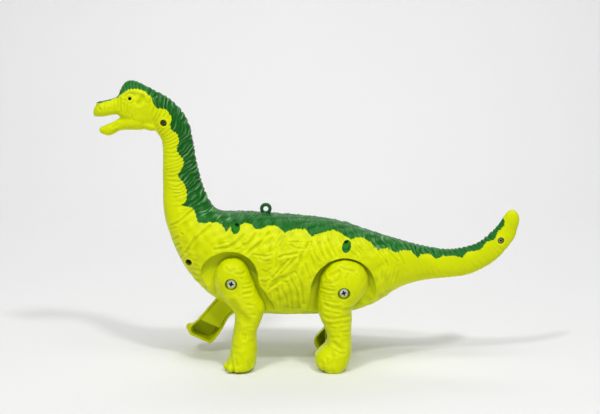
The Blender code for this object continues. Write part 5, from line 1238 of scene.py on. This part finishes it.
def place_leg(item, side, x, z, swing):
    """Puts a leg that was made round its hip, with its outer side towards +Y, where the frame has it."""
    mesh = shifted(as_tool(item), 0, LEG_Y, 0)
    if side < 0:
        mesh = mirrored(mesh)
    return shifted(turned(mesh, swing, "Y"), x, 0, z)


def leg_place(pixel, hip):
    """A pixel of the photograph as a place on the leg, seen from its hip before it swung."""
    x, z = pixel_on_side(pixel, LEG_SIDE_Y)
    swing = math.radians(hip[2])
    ahead, up = x - hip[0], z - hip[1]
    return ahead * math.cos(swing) - up * math.sin(swing), ahead * math.sin(swing) + up * math.cos(swing)


leg_skins = {}
for name, (side, shares, length, toes, strokes, ribs, bore, seed) in LEGS.items():
    form = leg_form(shares, length)
    for ahead, up, out, *radii in toes:
        add_ball(form, (ahead * length, out * LEG_THICKNESS, up * length), radii)
    leg = to_object(f"leg_{name}_skin", form)
    applied(leg, "REMESH", mode="VOXEL", voxel_size=LEG_VOXEL)
    applied(leg, "SMOOTH", factor=0.5, iterations=LEG_SMOOTH_ROUNDS)
    places, normals = points_of(leg)
    shown_hip = HIPS["front_left" if name.startswith("front") else "rear_left"]
    drawn = placed(strokes, lambda pixel, hip=shown_hip: leg_place(pixel, hip), *LEG_STROKE_SCALE)
    move_points(leg, places + normals * leg_folds(places, normals, length, seed, drawn)[:, None])
    box_cut(leg, -length, length, -length, length, 0, FAR_OUT, "INTERSECT")

    hollow = to_object("hollow", leg_form(shares, length, LEG_WALL, RUN_GAP))
    round_cut(hollow, HUB_RADIUS, HUB_SIDES, 0, 0, -OVERRUN, FAR_OUT)
    ankle = ANKLE_SHARE * length
    for share in ribs:
        start, end = share * length - FOOT_RIB_WALL / 2, share * length + FOOT_RIB_WALL / 2
        box_cut(hollow, start, end, -2 * length, ankle, LEG_THICKNESS * RIB_DEPTH_SHARE, FAR_OUT)
    if not ribs:
        sole = LEG_THICKNESS * FRONT_SOLE_SHARE
        box_cut(hollow, -length, length, -2 * length, ankle + COVER_LAP, sole, FAR_OUT)
    cut(leg, as_tool(hollow))
    round_cut(leg, bore, HOLE_SIDES, 0, 0, -OVERRUN, HUB_DEPTH + FIT_GAP)
    round_cut(leg, HIP_HOLE_RADIUS, WIDE_SIDES, 0, 0, HUB_DEPTH, FAR_OUT)
    mouth = cone(MOUTH_RADIUS, HIP_HOLE_RADIUS, MOUTH_DEPTH, WIDE_SIDES)
    cut(leg, shifted(mouth, 0, LEG_THICKNESS + FIT_GAP - MOUTH_DEPTH / 2, 0))
    places, normals = points_of(leg)
    store(leg, "fold", leg_folds(places, normals, length, seed, drawn) * 1000)
    leg_skins[name] = to_object(f"leg_{name}_skin", place_leg(leg, side, *HIPS[name]))
print("legs:", {name: len(leg.data.polygons) for name, leg in leg_skins.items()})

# %% [markdown]
# A flat cover closes the open inner side of each leg. The front ones show under the belly and reach
# down to the foot, so they get a fine version with a rounded edge: the leg's own outline, pulled in by
# the wall and a gap.

# %% Covers of the front legs
COVER_THICKNESS = 0.0014
COVER_GAP = 0.0004
COVER_TOP_SHARE = 0.13
COVER_END_SHARE = -0.82
COVER_BEVEL = 0.0003
TINY = 1e-6


def rounded(mesh, edges, step, segments):
    """The mesh with some of its edges rounded."""
    bmesh.ops.bevel(
        mesh, geom=edges, offset=step, offset_type="OFFSET", affect="EDGES", segments=segments, profile=0.5,
        material=-1,
    )
    return mesh


def leg_cover(shares, length):
    """The plate that closes a leg, in the same place as the leg's form."""
    rows = through(np.array(shares), 4)
    kept = (rows[:, 0] < COVER_TOP_SHARE) & (rows[:, 0] > COVER_END_SHARE)
    heights, fronts, backs, _ = leg_rows(shares, length, LEG_WALL)[kept].T
    inset = LEG_WALL + COVER_GAP
    front = list(zip(fronts + inset, heights))
    back = list(zip(backs - inset, heights))
    mesh = prism(front + back[::-1], 0, COVER_THICKNESS)
    rim = [edge for edge in mesh.edges if all(vert.co.y < TINY for vert in edge.verts)]
    return rounded(mesh, rim, COVER_BEVEL, 3)


covers = {}
for name in ("front_left", "front_right"):
    cover = to_object("cover", leg_cover(FRONT_LEG_SHARES, FRONT_LEG_LENGTH))
    round_cut(cover, HUB_RADIUS + FIT_GAP, HUB_SIDES, 0, 0, -OVERRUN, OVERRUN)
    cover = to_object(f"leg_{name}_cover", place_leg(cover, LEGS[name][0], *HIPS[name]))
    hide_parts(f"leg_{name}_inner")
    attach(cover, f"leg_{name}")
    covers[name] = cover
print("covers:", {name: len(cover.data.polygons) for name, cover in covers.items()})

# %% [markdown]
# The screws are zinc-plated steel with a cross recess. A profile of the head is spun round the screw's
# axis, and four slots, each narrower towards the bottom, make the cross.

# %% Screws
HIP_HEAD_RADIUS = 0.0037
HIP_HEAD_THICKNESS = 0.0018
SHELL_HEAD_RADIUS = 0.0020
SHELL_HEAD_THICKNESS = 0.0014
THREAD_PITCH = 0.0006
THREAD_DEPTH = 0.00014
RIM_SHARE = 0.45
DOME_STEPS = 7
DOME_POWER = 0.8
CROSS_LIMIT = 0.72
SLOT_REACH = 0.66
SLOT_DEPTH = 0.75
SLOT_TAPER = 0.45
SLOT_WIDTH_SHARE = 0.50
SPIN_STEPS = 48
# How far the cross of the first screw is turned, and how much further each next one
HIP_TURN, HIP_TURN_STEP = 12, 31
SHELL_TURN, SHELL_TURN_STEP = 8, 23


def spun(profile, steps=SPIN_STEPS):
    """A profile of distances along +Y and from the axis, spun round the Y axis."""
    mesh = bmesh.new()
    verts = [mesh.verts.new((reach, along, 0)) for along, reach in profile]
    edges = [mesh.edges.new(pair) for pair in zip(verts, verts[1:])]
    bmesh.ops.spin(
        mesh, geom=verts + edges, cent=(0, 0, 0), axis=(0, 1, 0), angle=2 * math.pi, steps=steps,
        use_merge=True,
    )
    bmesh.ops.remove_doubles(mesh, verts=mesh.verts, dist=1e-7)
    bmesh.ops.recalc_face_normals(mesh, faces=mesh.faces)
    return mesh


def screw_profile(head_radius, head_thickness, shank_radius, shank_length):
    """From the middle of the head round its edge, along the thread and to the point."""
    profile = [(head_thickness, 0.0)]
    for turn in math.pi / 2 * np.arange(1, DOME_STEPS + 1) / DOME_STEPS:
        rise = RIM_SHARE + (1 - RIM_SHARE) * math.cos(turn)
        profile.append((head_thickness * rise, head_radius * math.sin(turn) ** DOME_POWER))
    profile += [(0.0, head_radius), (0.0, shank_radius)]
    along = -THREAD_PITCH / 2
    while along > -shank_length + shank_radius + THREAD_PITCH:
        profile += [(along, shank_radius - THREAD_DEPTH), (along - THREAD_PITCH / 2, shank_radius)]
        along -= THREAD_PITCH
    return profile + [(-shank_length, 0.0)]


def slot_tool(radius, depth, top, degrees):
    """One of the two tapered bars that a driver's tip is made of."""
    mesh = bmesh.new()
    for vert in bmesh.ops.create_cube(mesh, size=1)["verts"]:
        narrow = SLOT_TAPER if vert.co.y < 0 else 1.0
        x, y, z = vert.co
        vert.co = (x * 2 * radius * narrow, top + y * 2 * depth, z * radius * SLOT_WIDTH_SHARE)
    return turned(mesh, degrees, "Y")


def make_screw(name, node, body, x, z, seat_y, side, head_radius, head_thickness, length, turn):
    """A screw whose head lies outwards from its seat, with its cross turned a little."""
    item = to_object(name, spun(screw_profile(head_radius, head_thickness, SCREW_SHANK_RADIUS, length)))
    for degrees in (0, 90):
        slot = slot_tool(head_radius * SLOT_REACH, head_thickness * SLOT_DEPTH, head_thickness, degrees)
        cut(item, slot, solver="EXACT")
    places, _ = points_of(item)
    from_axis = np.hypot(places[:, 0], places[:, 2]) / head_radius
    round_share = np.sqrt(1 - np.clip(from_axis, 0, 1) ** (2 / DOME_POWER))
    dome = head_thickness * (RIM_SHARE + (1 - RIM_SHARE) * round_share)
    inside = (from_axis < CROSS_LIMIT) & (places[:, 1] > 0)
    store(item, "sunk", np.where(inside, dome - places[:, 1], 0.0) * 1000)
    mesh = turned(as_tool(item), turn, "Y")
    if side < 0:
        mesh = mirrored(mesh)
    made = to_object(name, shifted(mesh, x, seat_y, z))
    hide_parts(node)
    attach(made, body)
    return made


screws = []
for index, (name, (side, *_)) in enumerate(LEGS.items()):
    x, z, _ = HIPS[name]
    body = "front_crank" if name.startswith("front") else "torso"
    screws.append(make_screw(
        f"hip_screw_{name}_head", f"hip_screw_{name}", body, x, z, side * (HUB_SEAT_Y + FIT_GAP), side,
        HIP_HEAD_RADIUS, HIP_HEAD_THICKNESS, HIP_SHANK_LENGTH, HIP_TURN + HIP_TURN_STEP * index,
    ))
for index, (name, (x, z)) in enumerate(SHELL_SCREWS.items()):
    screws.append(make_screw(
        f"shell_screw_{name}_head", f"shell_screw_{name}", "torso", x, z, -SCREW_SEAT_DEPTH - FIT_GAP, -1,
        SHELL_HEAD_RADIUS, SHELL_HEAD_THICKNESS, SHANK_LENGTH, SHELL_TURN + SHELL_TURN_STEP * index,
    ))
print(len(screws), "screws")

# %% [markdown]
# The eyelet is a separate dark green piece that is trapped between the halves, with a hole for a string.
# Its outline is pulled across, the hole is cut, and the edges are rounded with a bevel.

# %% Eyelet
EYELET_RADIUS = 0.0042
EYELET_HOLE_RADIUS = 0.00175
EYELET_FOOT_HEIGHT = 0.0016
EYELET_BEVEL = 0.00075
RING_STEPS = 41
WAIST_STEPS = 8
WAIST_FLARE = 0.0006
MOUTH_FLARE = 0.0009
MOUTH_OVERRUN = 0.001


def eyelet():
    low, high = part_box("back_eyelet")
    middle = (low.x + high.x) / 2
    ring_z = high.z - EYELET_RADIUS
    start = -math.acos(STEM_HALF / EYELET_RADIUS)
    turns = np.linspace(start, math.pi - start, RING_STEPS)
    round_part = zip(middle + EYELET_RADIUS * np.cos(turns), ring_z + EYELET_RADIUS * np.sin(turns))
    outline = list(round_part)
    shoulder = low.z + EYELET_FOOT_HEIGHT
    outline += [(middle - STEM_HALF, shoulder), (low.x, shoulder), (low.x, low.z)]
    outline += [(high.x, low.z), (high.x, shoulder), (middle + STEM_HALF, shoulder)]
    mesh = prism(outline, low.y, high.y)
    rim = [edge for edge in mesh.edges if len({round(vert.co.y, 6) for vert in edge.verts}) == 1]
    rim = [edge for edge in rim if min(vert.co.z for vert in edge.verts) > shoulder - TINY]
    item = to_object("back_eyelet_ring", rounded(mesh, rim, EYELET_BEVEL, 4))
    mouth = EYELET_HOLE_RADIUS + MOUTH_FLARE
    start, end = low.y - MOUTH_OVERRUN, high.y + MOUTH_OVERRUN
    waist = [(start, 0.0), (start, mouth)]
    for turn in math.pi * np.arange(WAIST_STEPS + 1) / WAIST_STEPS:
        along = -math.cos(turn)
        waist.append((along * (high.y - low.y) / 2, EYELET_HOLE_RADIUS + WAIST_FLARE * abs(along) ** 3))
    waist += [(end, mouth), (end, 0.0)]
    cut(item, shifted(spun(waist, HUB_SIDES), middle, 0, ring_z), solver="EXACT")
    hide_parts("back_eyelet")
    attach(item, "torso")
    return item


ring = eyelet()
print("eyelet:", len(ring.data.polygons), "faces")

# %% [markdown]
# Each fine piece stands for the plain one that was packed and moves with its body: the halves with the
# torso, the door on its hinge, and each leg with its own swing.

# %% Putting the skins in the frame
for name, half in halves.items():
    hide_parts(f"shell_{name}")
    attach(half, "torso")
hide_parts("battery_door")
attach(door, "battery_door")
for name, leg in leg_skins.items():
    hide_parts(f"leg_{name}_outer")
    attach(leg, f"leg_{name}")
print("skins on", len(halves) + 1 + len(leg_skins), "nodes")

# %% [markdown]
# Materials are node trees. A small helper adds a node and sets its inputs, so that each finish below
# reads as a short list: what it looks up, how that turns into colour, and how rough and bumpy it is.

# %% Material helpers
NOISE_LOW = 0.3
NOISE_HIGH = 0.7
# The mix node's sockets for colours, by their place
FIRST_COLOUR = 6
SECOND_COLOUR = 7
MIXED_COLOUR = 2


def new_material(name, colour, roughness, metallic=0.0, **uniform):
    """A Principled material. What is the same all over the surface is set on the shader itself."""
    material = bpy.data.materials.new(name)
    material.use_nodes = True
    shader = material.node_tree.nodes["Principled BSDF"]
    shader.inputs["Base Color"].default_value = (*colour, 1)
    shader.inputs["Roughness"].default_value = roughness
    shader.inputs["Metallic"].default_value = metallic
    for key, value in uniform.items():
        shader.inputs[key.replace("_", " ")].default_value = value
    material.diffuse_color = (*colour, 1)
    return material, material.node_tree, shader


def add(tree, kind, inputs, **settings):
    """A node with its settings, and its inputs by name or number as values, colours or links."""
    node = tree.nodes.new(kind)
    for key, value in settings.items():
        setattr(node, key, value)
    for key, value in inputs.items():
        if isinstance(value, bpy.types.NodeSocket):
            tree.links.new(value, node.inputs[key])
        else:
            node.inputs[key].default_value = (*value, 1) if isinstance(value, tuple) else value
    return node


def noise(tree, where, scale, detail, roughness):
    inputs = {"Vector": where, "Scale": scale, "Detail": detail, "Roughness": roughness}
    return add(tree, "ShaderNodeTexNoise", inputs).outputs["Fac"]


def place_noise(tree, scale, detail=4.0, roughness=0.5):
    """Noise over the object's own coordinates, in metres."""
    where = add(tree, "ShaderNodeTexCoord", {}).outputs["Object"]
    return noise(tree, where, scale, detail, roughness)


def ramp(tree, value, low, high, to_low=0.0, to_high=1.0):
    inputs = {"Value": value, "From Min": low, "From Max": high, "To Min": to_low, "To Max": to_high}
    return add(tree, "ShaderNodeMapRange", inputs, interpolation_type="SMOOTHSTEP").outputs["Result"]


def clouds(tree, scale, to_low=0.0, to_high=1.0, detail=4.0):
    """Noise that is spread over the whole way from one value to another."""
    return ramp(tree, place_noise(tree, scale, detail), NOISE_LOW, NOISE_HIGH, to_low, to_high)


def maths(tree, operation, first, second=0.0):
    return add(tree, "ShaderNodeMath", {0: first, 1: second}, operation=operation).outputs[0]


def times(tree, first, second):
    return maths(tree, "MULTIPLY", first, second)


def mixed(tree, share, first, second):
    """A blend of two colours, each given as a colour or a link."""
    inputs = {"Factor": share, FIRST_COLOUR: first, SECOND_COLOUR: second}
    return add(tree, "ShaderNodeMix", inputs, data_type="RGBA").outputs[MIXED_COLOUR]


def stored(tree, name):
    return add(tree, "ShaderNodeAttribute", {}, attribute_name=name).outputs["Fac"]


def bump(tree, shader, height, strength, distance):
    node = add(tree, "ShaderNodeBump", {"Height": height, "Strength": strength, "Distance": distance})
    tree.links.new(node.outputs["Normal"], shader.inputs["Normal"])


print("surface helpers ready")

# %% [markdown]
# The lime plastic is pigmented right through, with a satin moulded surface. Fine noise keeps the gloss
# from looking like glass, and a slow one varies the colour as pigment does. The creases hold less light
# than a render of so shallow a fold shows, so shade is painted into the colour by the stored depth of the
# fold, and the tops of the folds get a painted highlight.

# %% Lime plastic and sprayed green
LIME = (0.655, 0.735, 0.001)
LIME_SHADE = (0.600, 0.685, 0.001)
# Painted shade for the creases of the folds, and a painted highlight for their tops
LIME_PAINTED_SHADE = (0.430, 0.520, 0.001)
LIME_PAINTED_HIGHLIGHT = (0.780, 0.850, 0.010)
GREEN = (0.017, 0.168, 0.022)
GREEN_DEEP = (0.006, 0.095, 0.008)
# Lighter green on the fold tops: partly paint rubbed thin, partly a painted highlight
GREEN_WORN_AND_SHEEN = (0.190, 0.440, 0.170)
# Painted light: the colour of a faint emission inside two screw holes
HOLE_PAINTED_LIGHT = (0.030, 0.190, 0.020)
PLASTIC_ROUGHNESS = 0.36
PLASTIC_GLOSS = (0.31, 0.42)
PLASTIC_SHINE = 0.09
# Painted shade and highlight: where the crease's painted shade is darkest and how dark, where the painted
# highlight on the ridge starts and ends and how light
LEG_SHADING = (-0.36, 0.30, 0.06, 0.28, 0.35)
SKIN_SHADING = (-0.42, 0.52, 0.08, 0.36, 0.45)
GRAIN_SCALE = 2600.0
GRAIN_SHARE = 0.04
BUMP_STRENGTH = 0.7
BUMP_HEIGHT = 0.0006
GLOSS_SCALE = 180.0
CLOUD_SCALE = 60.0
CLOUD_RANGE = (0.35, 0.65)
CREASE_START = 0.04


def moulded(tree, shader, colour, height=0.0):
    """The surface that every lime piece shares."""
    grain = place_noise(tree, GRAIN_SCALE, 2.0)
    roughness = clouds(tree, GLOSS_SCALE, *PLASTIC_GLOSS, 3.0)
    tree.links.new(roughness, shader.inputs["Roughness"])
    relief = maths(tree, "ADD", times(tree, grain, GRAIN_SHARE), height)
    bump(tree, shader, relief, BUMP_STRENGTH, BUMP_HEIGHT)
    tree.links.new(colour, shader.inputs["Base Color"])


def lime_tone_and_painted_light(tree, height, crease_end, crease_share, ridge_start, ridge_end, ridge_share):
    """The lime colour, varied slowly in tone, with painted shade in the creases of the folds and a painted
    highlight on their tops.
    """
    colour = mixed(tree, ramp(tree, place_noise(tree, CLOUD_SCALE), *CLOUD_RANGE), LIME_SHADE, LIME)
    creased = ramp(tree, height, CREASE_START, crease_end, 0.0, crease_share)
    colour = mixed(tree, creased, colour, LIME_PAINTED_SHADE)
    return mixed(tree, ramp(tree, height, ridge_start, ridge_end, 0.0, ridge_share), colour, LIME_PAINTED_HIGHLIGHT)


lime, tree, shader = new_material("lime plastic", LIME, PLASTIC_ROUGHNESS, Specular_IOR_Level=PLASTIC_SHINE)
# The legs: lime with painted shade in the creases and a painted highlight on the fold tops
moulded(tree, shader, lime_tone_and_painted_light(tree, stored(tree, "fold"), *LEG_SHADING))
print("lime plastic:", len(tree.nodes), "nodes")

# %% [markdown]
# The paint's edge is feathered: it runs out in streaks along the folds. The streaks are noise that is
# stretched, because it is looked up by the ring that a point lies on and by its height on the body.
# The paint is thin on the ridges, where its lighter green along the streaks is partly paint rubbed thin
# and partly a painted highlight, and the creases get painted shade. The mouths of two screw holes are
# sprayed as well, and a faint green emission on their walls is painted light that brightens the holes.

# %% Sprayed back
EDGE_SOFTNESS = 0.30
RIDGE_PULL = 0.9
FEATHER = 2.8
STREAK_SCALE = 0.8
STREAK_DETAIL = 2.0
STREAK_ROUGHNESS = 0.6
STREAK_STEP = 1.25
STREAK_RELIEF = 0.30
UP_SHARE = 0.16
CREASE_SHADE_RANGE = (0.10, -0.30)
RIDGE_RANGE = (0.0, 0.30)
STREAK_RANGE = (0.46, 0.58)
PAINTED_RANGE = (-2.5, 0.5)
PAINTED_RELIEF = (0.12, 0.55)
PUPIL_RANGE = (-0.03, 0.05)
OVAL_SOFTNESS = 0.15
PAINT_CLOUD_SCALE = 90.0
PAINT_CLOUD_SHARE = 0.45
DEEPER_SHARE = 0.85
# How strong the lighter green of rubbed paint and painted highlight is, where stored and everywhere
WEAR_AND_SHEEN_SHARE = 0.85
WEAR_AND_SHEEN_EVERYWHERE = 0.10
PUPIL_BLACK = (0.004, 0.004, 0.004)

sprayed, tree, shader = new_material(
    "sprayed plastic", LIME, PLASTIC_ROUGHNESS, Specular_IOR_Level=PLASTIC_SHINE
)
edge = stored(tree, "paint")
height = stored(tree, "fold")
ring_place = stored(tree, "ring")
up_place = times(tree, stored(tree, "upward"), UP_SHARE)
where = add(tree, "ShaderNodeCombineXYZ", {"X": ring_place, "Y": up_place}).outputs[0]
streaks = noise(tree, where, STREAK_SCALE, STREAK_DETAIL, STREAK_ROUGHNESS)
reach = maths(tree, "SUBTRACT", edge, times(tree, height, RIDGE_PULL))
reach = maths(tree, "ADD", reach, times(tree, maths(tree, "SUBTRACT", streaks, 0.5), FEATHER))
cover = ramp(tree, reach, -EDGE_SOFTNESS, EDGE_SOFTNESS)
cover = maths(tree, "MAXIMUM", cover, ramp(tree, stored(tree, "oval"), -OVAL_SOFTNESS, OVAL_SOFTNESS))
# Painted shade: the green turns darker in the creases of the folds
green = mixed(tree, ramp(tree, height, *CREASE_SHADE_RANGE), GREEN, GREEN_DEEP)
green = mixed(tree, clouds(tree, PAINT_CLOUD_SCALE, 0.0, PAINT_CLOUD_SHARE), green, GREEN_DEEP)
green = mixed(tree, times(tree, stored(tree, "deeper"), DEEPER_SHARE), green, GREEN_DEEP)
# Partly paint rubbed thin and partly a painted highlight: a lighter green on the fold tops along the streaks
worn_and_sheen = times(tree, ramp(tree, height, *RIDGE_RANGE), ramp(tree, streaks, *STREAK_RANGE))
worn_and_sheen = times(tree, worn_and_sheen, maths(tree, "ADD", times(tree, stored(tree, "wear_and_sheen"), WEAR_AND_SHEEN_SHARE), WEAR_AND_SHEEN_EVERYWHERE))
green = mixed(tree, worn_and_sheen, green, GREEN_WORN_AND_SHEEN)
# The lime under the paint, with painted shade in the creases and a painted highlight on the fold tops
plain = lime_tone_and_painted_light(tree, height, *SKIN_SHADING)
skin_colour = mixed(tree, cover, plain, green)
skin_colour = mixed(tree, ramp(tree, stored(tree, "pupil"), *PUPIL_RANGE), skin_colour, PUPIL_BLACK)
fine = maths(tree, "ABSOLUTE", maths(tree, "SINE", times(tree, ring_place, math.pi / STREAK_STEP)))
fine = times(tree, fine, ramp(tree, edge, *PAINTED_RANGE, *PAINTED_RELIEF))
moulded(tree, shader, skin_colour, times(tree, maths(tree, "ADD", fine, streaks), STREAK_RELIEF))
# Painted light: the walls of two screw holes give off a faint green light, though they are no lamp
shader.inputs["Emission Color"].default_value = (*HOLE_PAINTED_LIGHT, 1)
tree.links.new(stored(tree, "hole_painted_light"), shader.inputs["Emission Strength"])
print("sprayed plastic:", len(tree.nodes), "nodes")

# %% [markdown]
# The green eyelet, the screws and the pieces inside each have a finish of their own. The record names a
# finish for each piece, so one table makes them and another cell hands them out.

# %% Metals and other plastics
RECESS_PAINTED_SHADE = (0.012, 0.012, 0.014)
PLASTIC_TONE = 0.82
METAL_TONE = 0.75
SUNK_RANGE = (0.05, 0.50)
PLAIN_SHINE = 0.3
PLASTIC_BELOW, PLASTIC_ABOVE = 0.05, 0.07
METAL_BELOW, METAL_ABOVE = 0.06, 0.12
PLASTIC_BUMP = (0.15, 0.00008)
METAL_BUMP = (0.20, 0.00005)


def plastic(name, colour, roughness, scale):
    """Moulded plastic with a little variation in tone and gloss."""
    material, tree, shader = new_material(name, colour, roughness, Specular_IOR_Level=PLAIN_SHINE)
    darker = tuple(channel * PLASTIC_TONE for channel in colour)
    tree.links.new(mixed(tree, clouds(tree, scale), darker, colour), shader.inputs["Base Color"])
    gloss = clouds(tree, scale * 4, roughness - PLASTIC_BELOW, roughness + PLASTIC_ABOVE)
    tree.links.new(gloss, shader.inputs["Roughness"])
    bump(tree, shader, place_noise(tree, GRAIN_SCALE, 2.0), *PLASTIC_BUMP)
    return material


def metal(name, colour, roughness, scale):
    """Bare or plated metal with fine marks from handling. A screw's cross recess is darkened with painted
    shade.
    """
    material, tree, shader = new_material(name, colour, roughness, 1.0)
    marks = place_noise(tree, scale, 6.0, 0.7)
    gloss = ramp(tree, marks, NOISE_LOW, NOISE_HIGH, roughness - METAL_BELOW, roughness + METAL_ABOVE)
    tree.links.new(gloss, shader.inputs["Roughness"])
    darker = tuple(channel * METAL_TONE for channel in colour)
    tone = mixed(tree, clouds(tree, scale / 5), darker, colour)
    # Painted shade: the cross recess of a screw is darkened by its stored depth
    tone = mixed(tree, ramp(tree, stored(tree, "sunk"), *SUNK_RANGE), tone, RECESS_PAINTED_SHADE)
    tree.links.new(tone, shader.inputs["Base Color"])
    bump(tree, shader, marks, *METAL_BUMP)
    return material


FINISHES = {
    "lime_plastic": lime,
    "green_plastic": plastic("green plastic", (0.006, 0.085, 0.016), 0.38, 300),
    "natural_plastic": plastic("natural plastic", (0.78, 0.76, 0.70), 0.42, 250),
    "black_plastic": plastic("black plastic", (0.020, 0.020, 0.021), 0.45, 250),
    "screw_steel": metal("zinc-plated steel", (0.72, 0.75, 0.76), 0.30, 2500),
    "shaft_steel": metal("drawn steel", (0.58, 0.58, 0.57), 0.22, 1800),
    "motor_steel": metal("plated sheet", (0.60, 0.60, 0.58), 0.30, 900),
    "contact_steel": metal("nickel plate", (0.64, 0.61, 0.55), 0.26, 1500),
    "pinion_brass": metal("turned brass", (0.62, 0.43, 0.14), 0.26, 2200),
    "cell_wrapper": plastic("cell wrapper", (0.020, 0.045, 0.130), 0.28, 200),
    "red_insulation": plastic("red insulation", (0.48, 0.014, 0.010), 0.46, 400),
    "black_insulation": plastic("black insulation", (0.016, 0.016, 0.016), 0.46, 400),
}
# Painted shade: a darker copy of the screw steel for the shell screws that sit deep in their holes
painted_shade_steel = metal("screw steel with painted shade", (0.30, 0.31, 0.31), 0.34, 2500)
print(len(FINISHES), "finishes")

# %% [markdown]
# The pieces that show as packed take the finish that the record names. The fine pieces get theirs here,
# and are shaded smooth except over edges sharper than a limit, so that rims and slots stay crisp. The
# shell screws sit deep in their holes, where little light falls, so they get a darker copy of the steel
# with painted shade.

# %% Handing the finishes out
SHARP = math.radians(38)


def put_on(item, material):
    item.data.materials.clear()
    item.data.materials.append(material)


def finish(item, material):
    put_on(item, material)
    item.data.shade_smooth()
    item.data.set_sharp_from_angle(angle=SHARP)


for row in frame["record"]["subparts"]:
    put_on(frame["nodes"][row["node"]], FINISHES[row["material_slot"]])
for item in (*halves.values(), door):
    finish(item, sprayed)
for item in (*leg_skins.values(), *covers.values()):
    finish(item, lime)
# The shell screws take the steel with painted shade, the hip screws the plain steel
for item in screws:
    finish(item, painted_shade_steel if item.name.startswith("shell") else FINISHES["screw_steel"])
finish(ring, FINISHES["green_plastic"])
print("finished pieces:", len(screws) + len(leg_skins) + len(covers) + len(halves) + 2)

# %% [markdown]
# The photograph has a white table that runs up into a white wall, with two soft lights in front: one to
# the left and one to the right. The toy's shadow lies behind it to both sides. One profile, pulled across,
# makes the table, the sweep and the wall. The sheet is clear to a camera behind or below it, so that the
# toy can be looked at from every side.

# %% Table and wall
TABLE_BACK_Y = 0.62
TABLE_FRONT_Y = -1.6
TABLE_HALF_WIDTH = 2.4
WALL_HEIGHT = 1.8
SWEEP_RADIUS = 0.35
SWEEP_STEPS = 12
WHITE = (0.80, 0.80, 0.80)
SHADED_WHITE = (0.79, 0.79, 0.79)
BRIGHT_WHITE = (0.81, 0.81, 0.81)


def table_and_wall():
    mesh = bmesh.new()
    profile = [(TABLE_FRONT_Y, 0.0), (TABLE_BACK_Y, 0.0)]
    for turn in math.pi / 2 * np.arange(1, SWEEP_STEPS + 1) / SWEEP_STEPS:
        profile.append((TABLE_BACK_Y + SWEEP_RADIUS * math.sin(turn), SWEEP_RADIUS * (1 - math.cos(turn))))
    profile.append((profile[-1][0], WALL_HEIGHT))
    verts = [mesh.verts.new((-TABLE_HALF_WIDTH, y, z)) for y, z in profile]
    edges = [mesh.edges.new(pair) for pair in zip(verts, verts[1:])]
    pulled = bmesh.ops.extrude_edge_only(mesh, edges=edges)
    moved = [item for item in pulled["geom"] if isinstance(item, bmesh.types.BMVert)]
    shifted(mesh, 2 * TABLE_HALF_WIDTH, 0, 0, moved)
    mesh.normal_update()
    if min(mesh.faces, key=lambda face: face.calc_center_median().y).normal.z < 0:
        bmesh.ops.reverse_faces(mesh, faces=mesh.faces)
    item = to_object("table", mesh)
    item.data.shade_smooth()
    return item


table = table_and_wall()
white, tree, shader = new_material("white table", WHITE, 0.75)
tone = mixed(tree, ramp(tree, place_noise(tree, 2.0), 0.2, 0.8), SHADED_WHITE, BRIGHT_WHITE)
tree.links.new(tone, shader.inputs["Base Color"])
from_behind = add(tree, "ShaderNodeNewGeometry", {}).outputs["Backfacing"]
from_camera = add(tree, "ShaderNodeLightPath", {}).outputs["Is Camera Ray"]
clear = add(tree, "ShaderNodeBsdfTransparent", {}).outputs["BSDF"]
seen_through = times(tree, from_behind, from_camera)
either = add(tree, "ShaderNodeMixShader", {0: seen_through, 1: shader.outputs["BSDF"], 2: clear})
tree.links.new(either.outputs["Shader"], tree.nodes["Material Output"].inputs["Surface"])
table.data.materials.append(white)
print("table:", len(table.data.polygons), "faces")

# %% [markdown]
# The two front lights are small and high, so each throws a fairly crisp shadow to its far side. A broad
# one from above fills the top, and a weak one lights the wall. The world's own light is low, because it
# would wash the shadows out, but the camera and reflections see it as a pale room.

# %% Lights
def soft_light(name, place, target, width, height, power):
    data = bpy.data.lights.new(name, "AREA")
    data.shape = "RECTANGLE"
    data.size = width
    data.size_y = height
    data.energy = power
    item = bpy.data.objects.new(name, data)
    item.location = place
    item.rotation_euler = (Vector(target) - Vector(place)).to_track_quat("-Z", "Y").to_euler()
    scene.collection.objects.link(item)


MIDDLE = (0, 0, 0.08)
WORLD_LIGHT = 0.25
WORLD_SEEN = 0.80
LIGHTS = {
    # place, target, width, height and watts
    "left light": ((-0.58, -1.10, 1.50), MIDDLE, 0.16, 0.16, 9.1),
    "right light": ((0.56, -1.08, 1.50), MIDDLE, 0.16, 0.16, 10.3),
    "top light": ((0, -0.45, 1.25), MIDDLE, 0.9, 0.6, 5.8),
    "wall light": ((0, 0.75, 0.9), (0, 0.95, 0.1), 1.0, 0.3, 2.2),
}
for name, row in LIGHTS.items():
    soft_light(name, *row)

world = bpy.data.worlds.new("studio")
scene.world = world
world.use_nodes = True
tree = world.node_tree
background = tree.nodes["Background"]
background.inputs["Color"].default_value = (1, 1, 1, 1)
sight = add(tree, "ShaderNodeLightPath", {}).outputs
seen = maths(tree, "MAXIMUM", sight["Is Camera Ray"], sight["Is Glossy Ray"])
seen = maths(tree, "MAXIMUM", seen, sight["Is Transmission Ray"])
tree.links.new(ramp(tree, seen, 0.0, 1.0, WORLD_LIGHT, WORLD_SEEN), background.inputs["Strength"])
